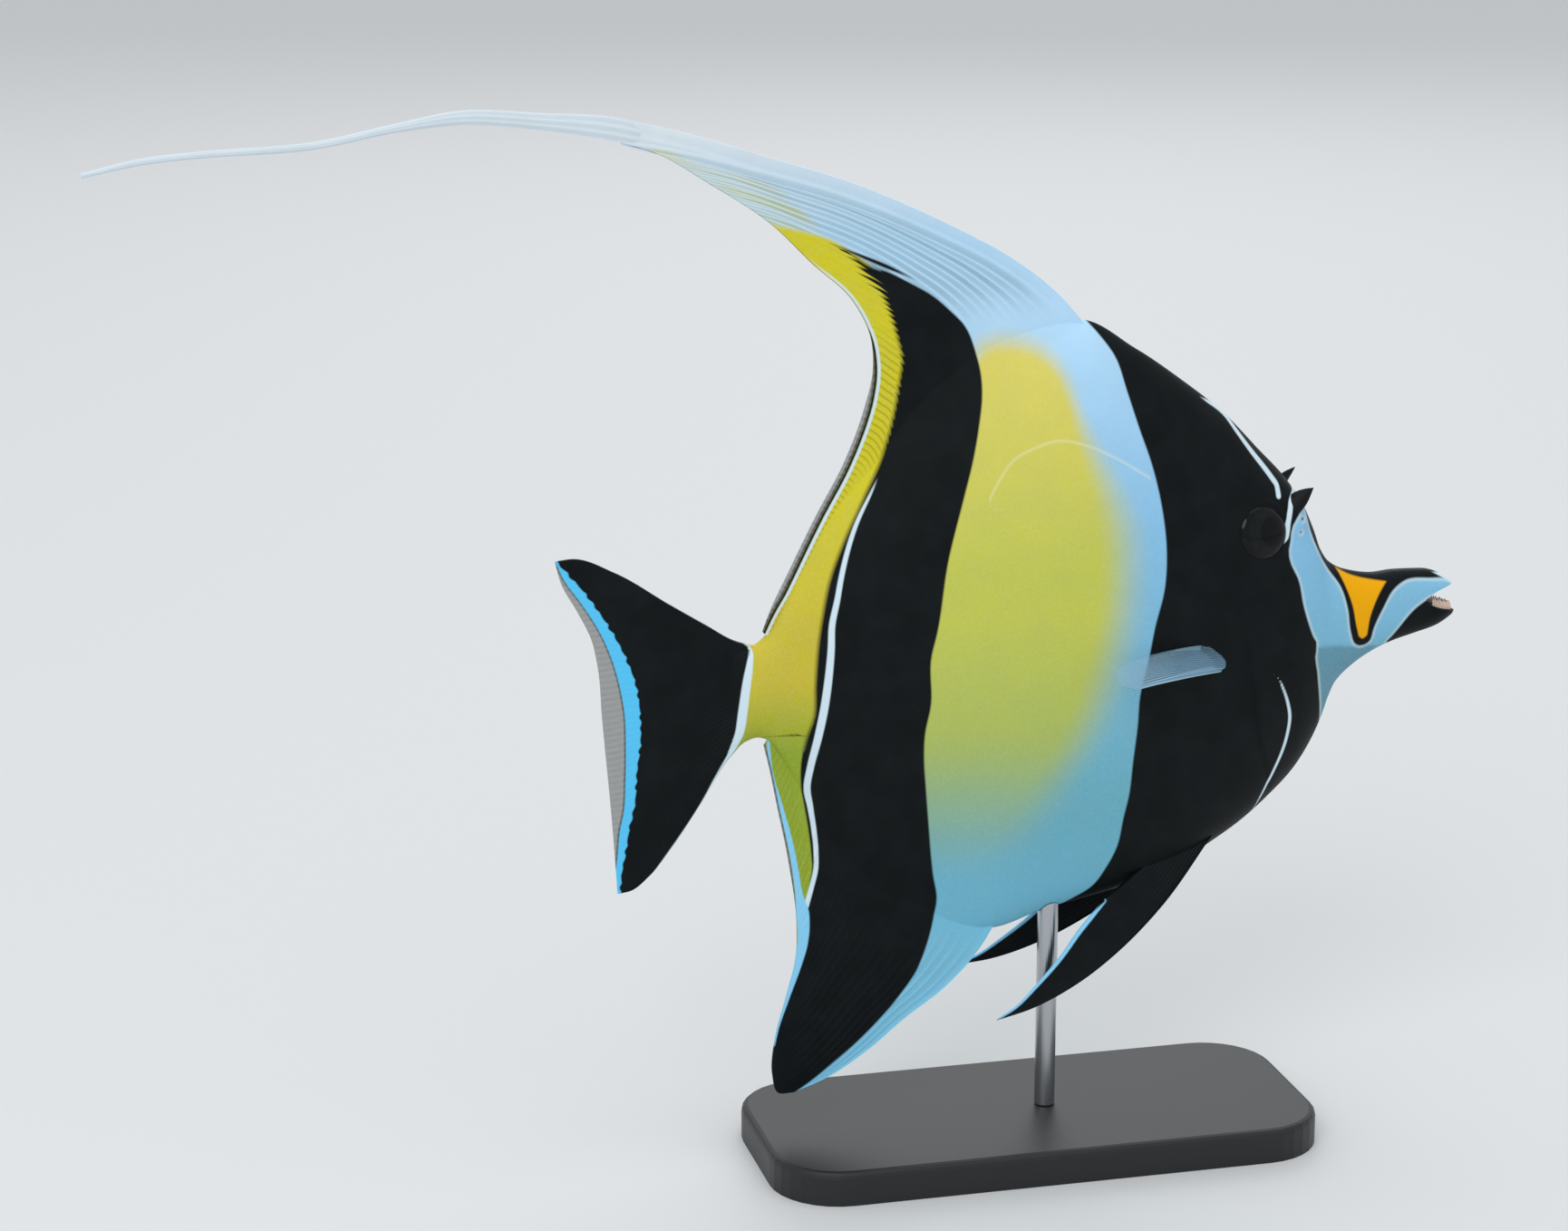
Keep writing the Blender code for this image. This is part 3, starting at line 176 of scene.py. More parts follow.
TAIL_BASE = [(-73.0, 128.4), (-71.0, 127.1), (-69.0, 126.0), (-67.7, 124.9), (-67.6, 123.8), (-68.0, 121.6),
             (-68.8, 117.4), (-69.7, 110.6), (-70.5, 104.9), (-72.1, 100.9), (-75.0, 96.0), (-78.4, 89.9),
             (-84.3, 81.4), (-91.8, 72.2)]
# painted shadow: a thin dark line under the tail stalk's lower edge, where it overhangs the anal fin
STALK_FOLD_SHADOW = [(-65.5, 103.8), (-62.6, 104.1), (-58.5, 104.4), (-55.0, 104.3)]
FIN_SLIVER = [(-49.9, 215.2), (-44.5, 212.8), (-39.6, 210.7), (-34.1, 208.2), (-28.3, 205.4)]
LIP_RIM = [(95.6, 132.2), (98.4, 131.2), (100.2, 130.1), (101.3, 128.9)]
PALE_LINES = [(WHITE_LINE, [(0.0, -0.3), (0.06, 0.25), (0.3, 0.62), (0.55, 0.9), (0.7, 0.72), (0.88, 0.55),
                            (1.0, 0.6)]),
              (BROW_LINE, [(0.0, -0.1), (0.1, 0.3), (0.5, 0.5), (0.85, 0.62), (1.0, 0.62)]),
              (LORE_LINE, [(0.0, -0.1), (0.2, 0.7), (0.4, 0.65), (0.7, 0.55), (1.0, 0.5)]),
              (CRESCENT, [(0.0, -0.1), (0.12, 0.3), (0.4, 0.42), (0.75, 0.3), (1.0, -0.1)]),
              (TAIL_BASE, [(0.0, 0.05), (0.08, 0.2), (0.13, 0.6), (0.2, 0.9), (0.35, 1.0), (0.45, 0.8),
                           (0.5, 0.5), (0.6, 0.4), (0.85, 0.3), (1.0, -0.1)]),
              (LIP_RIM, [(0.0, -0.1), (0.4, 0.35), (1.0, 0.5)])]
# Closed outlines: the dark saddle of the snout, the orange in it, and the dark lower jaw
SADDLE = [(61.0, 153.6), (62.0, 149.4), (63.2, 145.4), (65.4, 140.4), (68.6, 135.4), (71.7, 131.0),
          (73.2, 126.2), (74.3, 120.0), (75.5, 117.3), (77.5, 116.4), (79.5, 117.1), (80.4, 120.4),
          (82.7, 125.2), (85.2, 129.0), (88.3, 130.9), (94.9, 131.1), (98.7, 130.7), (101.2, 129.6),
          (101.0, 140.0), (66.0, 158.0)]
ORANGE = [[(71.5, 134.9), (72.9, 131.4), (74.6, 126.5), (75.7, 121.6), (76.5, 119.0)],
          [(76.5, 119.0), (77.6, 118.3), (78.7, 118.9)],
          [(78.7, 118.9), (79.3, 123.3), (80.8, 127.0), (82.6, 129.7), (83.8, 131.0)],
          [(83.8, 131.0), (80.3, 131.6), (77.3, 132.3), (74.4, 133.3), (71.5, 134.9)]]
CHIN_DARK = [(84.7, 116.6), (91.4, 124.8), (93.6, 126.2), (104.0, 128.0), (104.0, 112.0), (88.0, 108.0)]
CHIN_LINE = [(64.2, 118.2), (70.4, 117.4), (77.1, 116.2), (80.5, 116.0)]
YELLOW_FRONT = [(-16.0, 188.5), (-14.3, 190.7), (-6.9, 191.6), (-0.5, 189.2), (3.2, 184.6), (5.5, 178.1),
                (7.8, 171.1), (12.2, 160.9), (15.9, 150.5), (16.6, 136.0), (14.6, 121.3), (9.5, 104.4),
                (1.8, 89.3), (-5.0, 78.4), (-13.0, 69.7), (-23.2, 66.0), (-45.0, 75.0), (-45.0, 188.0)]
YELLOW_TOP = [(-70.0, 222.5), (-62.0, 219.2), (-54.6, 217.2), (-49.2, 215.4), (-45.0, 213.0), (-36.0, 206.0)]
YELLOW_STREAKS = [(-90.5, 238.6), (-84.3, 237.2), (-79.7, 234.6), (-71.0, 231.9), (-63.0, 229.2),
                  (-54.0, 222.5), (-50.0, 216.5), (-60.0, 215.0), (-72.0, 225.0), (-90.0, 235.6)]
TAIL_BLUE_IN = [(-113.0, 150.0), (-111.3, 147.6), (-109.2, 145.0), (-105.9, 141.0), (-100.7, 133.3),
                (-97.1, 126.7), (-94.0, 118.4), (-93.0, 110.3), (-93.0, 105.7), (-94.0, 97.7),
                (-94.5, 90.7), (-95.8, 85.1), (-96.9, 78.7), (-97.7, 74.7), (-98.0, 70.7), (-98.2, 66.0)]
TAIL_BLUE_OUT = [(-113.4, 150.0), (-111.8, 147.4), (-110.3, 144.0), (-106.0, 137.6), (-101.9, 130.6),
                 (-99.1, 123.5), (-97.5, 117.0), (-96.7, 111.8), (-96.5, 103.7), (-96.7, 95.6),
                 (-97.1, 89.3), (-98.1, 84.7), (-98.7, 78.9), (-99.2, 74.9), (-99.4, 70.5), (-99.6, 66.0)]
ANAL_BLUE = [(-63.4, 104.0), (-62.4, 94.5), (-60.6, 87.8), (-58.4, 79.3), (-56.9, 71.7), (-55.9, 65.0),
             (-55.1, 60.7), (-55.0, 54.0), (-56.5, 47.4), (-58.9, 40.2), (-61.0, 33.4), (-61.8, 29.0)]
ANAL_BLUE_WIDTH = [(0.0, 0.3), (0.14, 0.4), (0.35, 0.65), (0.5, 0.8), (0.58, 1.5), (0.68, 1.2), (0.78, 0.8),
                   (0.88, 0.55), (1.0, 0.1)]
LATERAL_LINE = [(-15.1, 155.8), (-11.9, 161.7), (-8.8, 165.7), (-3.6, 168.5), (1.5, 169.9), (7.7, 168.7),
                (14.0, 165.8), (22.5, 160.7)]
CHEEK_CREASE = [(56.5, 115.4), (49.2, 117.2), (42.3, 119.3), (37.8, 121.2), (34.1, 123.1)]
CREASES = [(CHIN_LINE, 0.22, 0.5), (CHEEK_CREASE, 0.2, 0.6)]    # line, depth, reach

# The studio, in metres: name, place, width and power in watts of each lamp
LAMPS = [("key", (-0.95, -1.35, 1.35), 1.1, 11.0),
         ("top", (0.1, 0.1, 1.9), 1.6, 7.0),
         ("back", (0.5, 1.6, 1.2), 1.2, 5.0)]
LAMP_AIM = (-0.02, 0.0, 0.12)
FLOOR_SIZE, ROOM_COLOUR, ROOM_STRENGTH = 14.0, "#e8ecef", 0.82
# The camera stands where the photograph's perspective puts it: degrees behind square and up, and metres away
CAMERA_TURN, CAMERA_RISE, CAMERA_AWAY = 14.0, 15.0, 0.828
CAMERA_AIM = (-0.05934, 0.0, 0.13127)


# Curves and distances
def hermite(start, end, out, into, t):
    """Cubic from start to end whose slopes there are out and into."""
    return (start * (1 + 2 * t) * (1 - t) ** 2 + out * t * (1 - t) ** 2
            + end * t * t * (3 - 2 * t) + into * t * t * (t - 1))


def pchip(points, x):
    """Monotone cubic through the points: each inner slope is the harmonic mean of its two neighbours."""
    xs, ys = np.array(points, float).T
    step = np.diff(xs)
    slope = np.diff(ys) / step
    tangent = np.zeros_like(ys)
    same = slope[:-1] * slope[1:] > 0
    near, far = 2 * step[1:] + step[:-1], step[1:] + 2 * step[:-1]
    inner = np.zeros(len(ys) - 2)
    inner[same] = (near + far)[same] / (near[same] / slope[:-1][same] + far[same] / slope[1:][same])
    tangent[1:-1] = inner
    tangent[0], tangent[-1] = slope[0], slope[-1]
    x = np.asarray(x, float)
    k = np.clip(np.searchsorted(xs, x) - 1, 0, len(xs) - 2)
    return hermite(ys[k], ys[k + 1], tangent[k] * step[k], tangent[k + 1] * step[k], (x - xs[k]) / step[k])


def run_along(line):
    """Length so far at each point of a line, the sum of the straight pieces before it."""
    return np.concatenate([[0.0], np.cumsum(np.linalg.norm(np.diff(line, axis=0), axis=1))])


def spaced(line, share):
    """Points at the given shares of a line's length, straight between its own."""
    run = run_along(line)
    at = np.asarray(share, float) * run[-1]
    return np.stack([np.interp(at, run, line[:, axis]) for axis in range(line.shape[1])], -1)


def curve(points, share):
    """Point at each share of the length of a cubic whose tangents are the differences of its neighbours."""
    p = np.array(points, float)
    chord = run_along(p)
    tangent = np.gradient(p, chord, axis=0)
    fine = np.linspace(0.0, chord[-1], 600)
    k = np.clip(np.searchsorted(chord, fine) - 1, 0, len(p) - 2)
    h = (chord[k + 1] - chord[k])[:, None]
    t = (fine - chord[k])[:, None] / h
    return spaced(hermite(p[k], p[k + 1], tangent[k] * h, tangent[k + 1] * h, t), share)


def unit(vectors):
    """The vectors, each divided by its length."""
    return vectors / np.linalg.norm(vectors, axis=-1, keepdims=True)


def smooth_step(x):
    """0 below 0, 1 above 1, and the cubic 3x² - 2x³ between."""
    x = np.clip(x, 0.0, 1.0)
    return x * x * (3 - 2 * x)


def bell(distance, reach):
    """Bell-shaped swelling: 1 where the distance is 0, and 1/e at the reach."""
    return np.exp(-(distance / reach) ** 2)


def sway(x):
    """Sideways shift of the middle plane at x: nothing ahead of SWAY_START, then a curve that straightens."""
    behind = np.maximum(0.0, SWAY_START - x)
    return -SWAY_GAIN * behind ** 2 / (behind + SWAY_RUN)


def line_distance(x, z, points, smooth=90):
    """Signed distance in mm from a line, and the share of its length at the nearest point.

    The line is a smooth curve of that many points, or straight between its own where smooth is 0. The sign is
    plus on the left of the line as it runs, by the cross product with the nearest piece.
    """
    line = curve(points, np.linspace(0.0, 1.0, smooth)) if smooth else np.array(points, float)
    best = np.full(x.shape, 1e9)
    sign, share = np.zeros(x.shape), np.zeros(x.shape)
    run = run_along(line)
    for k in range(len(line) - 1):
        (ax, az), (bx, bz) = line[k], line[k + 1]
        dx, dz = bx - ax, bz - az
        size = math.hypot(dx, dz)
        # two lines joined at a corner give that point twice
        if size == 0:
            continue
        t = np.clip(((x - ax) * dx + (z - az) * dz) / size ** 2, 0.0, 1.0)
        gap = np.hypot(x - ax - t * dx, z - az - t * dz)
        near = gap < best
        best = np.where(near, gap, best)
        sign = np.where(near, np.sign(dx * (z - az) - dz * (x - ax)), sign)
        share = np.where(near, (run[k] + t * size) / run[-1], share)
    return best * np.where(sign == 0, 1.0, sign), share


def inside(x, z, *lines, smooth=90):
    """Distance in mm to a closed outline, plus inside it, by the parity of its crossings above each point.

    The outline is the given lines joined end to end. Each is made smooth by itself, so that corners stay.
    """
    outline = [tuple(point) for line in lines for point in curve(line, np.linspace(0.0, 1.0, smooth))]
    distance = np.abs(line_distance(x, z, outline + outline[:1], 0)[0])
    odd = np.zeros(x.shape, bool)
    for (ax, az), (bx, bz) in zip(outline, outline[1:] + outline[:1]):
        if ax != bx:
            odd ^= ((ax > x) != (bx > x)) & (z < az + (bz - az) * (x - ax) / (bx - ax))
    return np.where(odd, distance, -distance)


# Meshes
def half_thickness(x, z, fine=True):
    """Half the body's thickness at x, z.

    An oval profile between belly and back, (1 - |v|^OVAL_POWER)^roundness, times the girth, plus bell-shaped
    swellings. Where a fin stands on the body the roundness is raised, so that the flank runs into the fin.
    fine adds the gill cover's raised rear edge, a shallow dish and rim for the eye, and the nostrils' pits.
    """
    low, high = pchip(BELLY, x), pchip(BACK, x)
    v = np.clip((2 * z - low - high) / (high - low), -1.0, 1.0)
    lean = smooth_step((np.where(v > 0, NAPE_X, VENT_X) - x) / LEAN_RUN) * smooth_step((x + 61.0) / 8.0)
    profile = np.clip(1.0 - np.abs(v) ** OVAL_POWER, 0.0, 1.0) ** (pchip(ROUNDNESS, x) + FIN_LEAN * lean)
    swell = sum(height * bell(x - at_x, reach_x) * bell(z - at_z, reach_z)
                for at_x, at_z, reach_x, reach_z, height in SWELLINGS.values())
    bare = smooth_step((1.0 - np.abs(v)) / 0.06)
    seat = ((v > 0) & (x < NAPE_X + 1.0)) | ((v < 0) & (x < VENT_X + 1.0))
    edge = np.where(seat, FIN_SEAT, KEEL)
    out = edge + (pchip(GIRTH, x) - edge) * profile + swell * bare
    if fine:
        gill = line_distance(x, z, GILL_LINE, 60)[0]
        ahead = smooth_step((gill + 0.2) / 0.5) * smooth_step(1.0 - gill / GILL_REACH)
        span = smooth_step((GILL_TOP - z) / 10.0) * smooth_step((z - GILL_FOOT) / 8.0)
        weak = smooth_step((GILL_FAINT_TOP - z) / 14.0) * smooth_step((z - GILL_FAINT_FOOT) / 10.0)
        out = out + ahead * (GILL_FAINT * weak + (GILL_FLARE - GILL_FAINT) * span) * bare
        out = out - 0.14 * bell(gill, 0.7) * weak
        for crease, depth, reach in CREASES:
            out = out - depth * bell(line_distance(x, z, crease, 30)[0], reach)
        r = np.hypot(x - EYE_X, z - EYE_Z)
        plane = ORBIT[0] + ORBIT[1] * (x - EYE_X) + ORBIT[2] * (z - EYE_Z)
        dish = smooth_step((EYE_RADIUS + 2.0 - r) / 2.4)
        out = out + (plane - PIT_DEPTH * smooth_step((EYE_RADIUS - 0.6 - r) / 1.5) - out) * dish
        rim, beyond, reach = ORBIT_RIM
        out = out + rim * bell(r - EYE_RADIUS - beyond, reach)
        rim, beyond, reach = NOSTRIL_RIM
        for at_x, at_z, radius in NOSTRILS:
            d = np.hypot(x - at_x, z - at_z) - radius
            out = out - PIT_DEPTH * smooth_step(0.5 - d / 0.6) + rim * bell(d - beyond, reach)
    return out


def faces_of(rows, columns):
    """Quads of a grid, and the ring of its rim."""
    index = np.arange(rows * columns).reshape(rows, columns)
    quads = np.stack([index[:-1, :-1], index[1:, :-1], index[1:, 1:], index[:-1, 1:]], -1).reshape(-1, 4)
    rim = np.concatenate([index[:-1, 0], index[-1, :-1], index[:0:-1, -1], index[0, :0:-1]])
    return quads, rim


def rings_of(rows, columns):
    """Quads of a grid that closes on itself, its first and last ring, and the same rings one point on."""
    index = np.arange(rows * columns).reshape(rows, columns)
    after = np.roll(index, -1, axis=1)
    quads = np.stack([index[:-1], index[1:], after[1:], after[:-1]], -1).reshape(-1, 4)
    return quads, index[[0, -1]], after[[0, -1]]


def make_mesh(name, verts, quads):
    """Mesh from an array of points in mm and an array of four-sided faces."""
    mesh = bpy.data.meshes.new(name)
    mesh.vertices.add(len(verts))
    mesh.vertices.foreach_set("co", (np.asarray(verts) * MM).astype(np.float32).ravel())
    mesh.loops.add(quads.size)
    mesh.loops.foreach_set("vertex_index", quads.astype(np.int32).ravel())
    mesh.polygons.add(len(quads))
    mesh.polygons.foreach_set("loop_start", np.arange(0, quads.size, quads.shape[1], dtype=np.int32))
    mesh.update(calc_edges=True)
    mesh.validate()
    return mesh


def turn_outwards(mesh, merge=0.0, split=False):
    """Point a closed mesh's faces outwards, after merging points nearer than merge or splitting its faces."""
    work = bmesh.new()
    work.from_mesh(mesh)
    if merge:
        bmesh.ops.remove_doubles(work, verts=work.verts, dist=merge)
    if split:
        bmesh.ops.triangulate(work, faces=work.faces)
    bmesh.ops.recalc_face_normals(work, faces=work.faces)
    work.to_mesh(mesh)
    work.free()
    return mesh


def shade(mesh, crease):
    """Smooth shading, but for edges that turn by more than crease degrees."""
    mesh.shade_smooth()
    mesh.set_sharp_from_angle(angle=math.radians(crease))


def place(name, mesh, finish=None, crease=40.0):
    """Piece at the origin from a mesh, shaded and with its finish."""
    shade(mesh, crease)
    piece = bpy.data.objects.new(name, mesh)
    bpy.context.scene.collection.objects.link(piece)
    if finish:
        mesh.materials.append(finish)
    return piece


def blade(name, middle, offset):
    """Closed sheet: a grid moved by plus and minus its offset, and a strip of faces round the rim."""
    rows, columns = middle.shape[:2]
    verts = np.concatenate([(middle - offset).reshape(-1, 3), (middle + offset).reshape(-1, 3)])
    quads, rim = faces_of(rows, columns)
    after, other = np.roll(rim, -1), rows * columns
    walls = np.stack([rim, rim + other, after + other, after], -1)
    every = np.concatenate([quads, quads[:, ::-1] + other, walls])
    a, b, c, d = (verts[every[:, k]] for k in range(4))
    volume = np.einsum("ij,ij->i", a, np.cross(b, c) + np.cross(c, d)).sum()
    return make_mesh(name, verts, every if volume >= 0 else every[:, ::-1])


def give(mesh, **fields):
    """Store each field on the mesh's points as a number that the material reads."""
    for label, values in fields.items():
        layer = mesh.attributes.new(label, "FLOAT", "POINT")
        full = np.broadcast_to(np.asarray(values, np.float32), len(mesh.vertices))
        layer.data.foreach_set("value", np.ascontiguousarray(full))


def points_of(mesh):
    """The mesh's points in mm, a row for each."""
    co = np.empty(len(mesh.vertices) * 3, np.float32)
    mesh.vertices.foreach_get("co", co)
    return co.reshape(-1, 3).astype(float) / MM


# The skin
def skin_mesh():
    """Body as two half shells, each a grid of x stations by height between belly and back.

    Stations stand closer towards the snout and where the outline is steep. Height is mostly -cos of an even
    angle and partly the angle itself, so that it is dense at the keels.
    """
    fine = np.linspace(TAIL_END_X, LIP_X, 4000)
    slopes = [np.abs(np.gradient(pchip(outline, fine), fine)) for outline in (BACK, BELLY)]
    steep = np.minimum(np.maximum(*slopes), 2.5)
    weight = np.interp(fine, [TAIL_END_X, 25, 45, 62, LIP_X], [1.0, 1.0, 1.7, 2.3, 2.3])
    weight = weight * np.hypot(1, steep * 0.5)
    run = np.concatenate([[0.0], np.cumsum(weight[1:] * np.diff(fine))])
    x = np.interp(np.linspace(0.0, run[-1], SKIN_STATIONS), run, fine)[:, None]
    low, high = pchip(BELLY, x), pchip(BACK, x)
    angle = np.linspace(0.0, math.pi, SKIN_ROWS)[None, :]
    v = -0.8 * np.cos(angle) + 0.2 * (2 * angle / math.pi - 1)
    z = (low + high) / 2 + v * (high - low) / 2
    wide = np.broadcast_to(x, z.shape)
    return blade("skin", np.stack([wide, sway(wide), z], -1), sideways(half_thickness(wide, z)))


def wedge(name, outline, half):
    """Block with an outline in x and z, from -half to +half across."""
    count = len(outline)
    flat = np.array(outline, float)
    verts = np.concatenate([np.insert(flat, 1, -half, axis=1), np.insert(flat, 1, half, axis=1)]) * MM
    faces = [list(range(count))[::-1], list(range(count, 2 * count))]
    faces += [[k, (k + 1) % count, (k + 1) % count + count, k + count] for k in range(count)]
    mesh = bpy.data.meshes.new(name)
    mesh.from_pydata(verts.tolist(), [], faces)
    return place(name, turn_outwards(mesh, split=True))


def open_mouth(skin, finish):
    """Cut the open mouth out of the skin: a block between the two lips' curves is taken away from it."""
    shares = np.linspace(0, 1, 14)
    lips = [curve([MOUTH_CORNER, *edge], shares).tolist() for edge in (UPPER_LIP_EDGE, LOWER_LIP_EDGE)]
    cutter = wedge("mouth", lips[0] + lips[1][:0:-1], MOUTH_CUT_HALF)
    boolean = skin.modifiers.new("mouth", "BOOLEAN")
    boolean.operation, boolean.solver, boolean.object = "DIFFERENCE", "MANIFOLD", cutter
    bpy.context.view_layer.update()
    cut = bpy.data.meshes.new_from_object(skin.evaluated_get(bpy.context.evaluated_depsgraph_get()))
    skin.modifiers.clear()
    bpy.data.objects.remove(cutter)
    skin.data = cut
    shade(cut, SKIN_CREASE)
    cut.materials.clear()
    cut.materials.append(finish)


# Fields of the markings
def markings(x, z):
    """Distances in mm that the paint reads, plus inside each colour, from the named lines and outlines.

    dark: black areas, and a painted shadow along the tail stalk's lower edge. orange: the saddle's patch.
    pale: the thin pale lines. yellow and strip: 0 to 1, soft, on the flank and behind the second band.
    shade: 0 to 1, painted shade under the jaw.
    """
    band1 = inside(x, z, BAND1_REAR, BAND1_FRONT[::-1])
    band2 = inside(x, z, BAND2_FRONT, BAND2_REAR[::-1], smooth=140)
    rear = line_distance(x, z, BAND2_REAR)[0]
    # the second band's rear border is a soft one, about 1.2 mm wide, above the tail
    band2 = np.where((np.abs(rear) < 3.0) & (x < BEHIND_X) & (z > 100.0), 0.4 * band2, band2)
    tail = np.where(x < -60.0, -line_distance(x, z, TAIL_BASE)[0], -FAR)
    saddle = inside(x, z, SADDLE, smooth=120)
    chin = inside(x, z, CHIN_DARK)
    nostrils = [0.5 * radius - np.hypot(x - at_x, z - at_z) for at_x, at_z, radius in NOSTRILS]
    # painted shadow, as dark as the black, under the stalk's lower edge above the anal fin
    distance, share = line_distance(x, z, STALK_FOLD_SHADOW)
    fold_shadow = pchip([(0.0, -0.1), (0.4, 0.12), (0.75, 0.22), (1.0, -0.1)], share) - np.abs(distance)
    dark = np.maximum.reduce([band1, band2, tail, saddle, chin, fold_shadow, *nostrils])
    pale = np.full(x.shape, -FAR)
    for points, widths in PALE_LINES:
        distance, share = line_distance(x, z, points)
        pale = np.maximum(pale, pchip(widths, share) - np.abs(distance))
    # the yellow's edge is sharper by the shoulder (5 mm) than at the top (8 mm) and on the flank (14 mm)
    soft = np.interp(z, [150.0, 176.0, 184.0, 192.0], [14.0, 5.0, 5.0, 8.0])
    body = smooth_step(0.5 + inside(x, z, YELLOW_FRONT) / soft) * smooth_step((z - 62.0) / 42.0)
    behind = np.where((x < BEHIND_X) & (z > 52.0), 1.6 - rear, -FAR)
    strip = np.minimum(behind, np.where(z > 190.0, -line_distance(x, z, YELLOW_TOP)[0], FAR))
    # painted shade under the jaw, where the face turns downwards
    under = smooth_step(0.5 - line_distance(x, z, CHIN_LINE, 30)[0] / 0.6)
    under = under * smooth_step((84.0 - x) / 4.0) * (x > 56.0)
    return {"dark": dark, "orange": inside(x, z, *ORANGE), "pale": pale, "yellow": body,
            "strip": smooth_step(strip / 1.2 + 0.8), "shade": under}


# Materials
def linear(code):
    """sRGB hex to linear RGBA."""
    parts = [int(code[k:k + 2], 16) / 255 for k in (1, 3, 5)]
    return (*[p / 12.92 if p <= 0.04045 else ((p + 0.055) / 1.055) ** 2.4 for p in parts], 1.0)


def wire(tree, made, inputs):
    """Set a node's inputs: sockets are linked, hex colours made linear, and other text is a field's name."""
    for key, value in inputs.items():
        if isinstance(value, str) and value[0] != "#":
            value = node(tree, "Attribute", attribute_name=value).outputs["Fac"]
        if isinstance(value, bpy.types.NodeSocket):
            tree.links.new(value, made.inputs[key])
        else:
            made.inputs[key].default_value = linear(value) if isinstance(value, str) else value


def node(tree, kind, inputs=(), **settings):
    """Add a node with its settings and links."""
    made = tree.nodes.new("ShaderNode" + kind)
    for label, value in settings.items():
        setattr(made, label, value)
    wire(tree, made, dict(inputs))
    return made


def coat(tree, under, over, amount, low=0.0, high=1.0, most=1.0):
    """A coat of paint over another: none where amount is low, the share most of it where amount is high."""
    spread = {"Value": amount, "From Min": low, "From Max": high, "To Max": most}
    share = node(tree, "MapRange", spread).outputs["Result"]
    return node(tree, "Mix", {0: share, 6: under, 7: over}, data_type="RGBA").outputs[2]


def new_material(name):
    """Material with nodes: itself, its tree and its shader."""
    made = bpy.data.materials.new(name)
    made.use_nodes = True
    return made, made.node_tree, made.node_tree.nodes["Principled BSDF"]


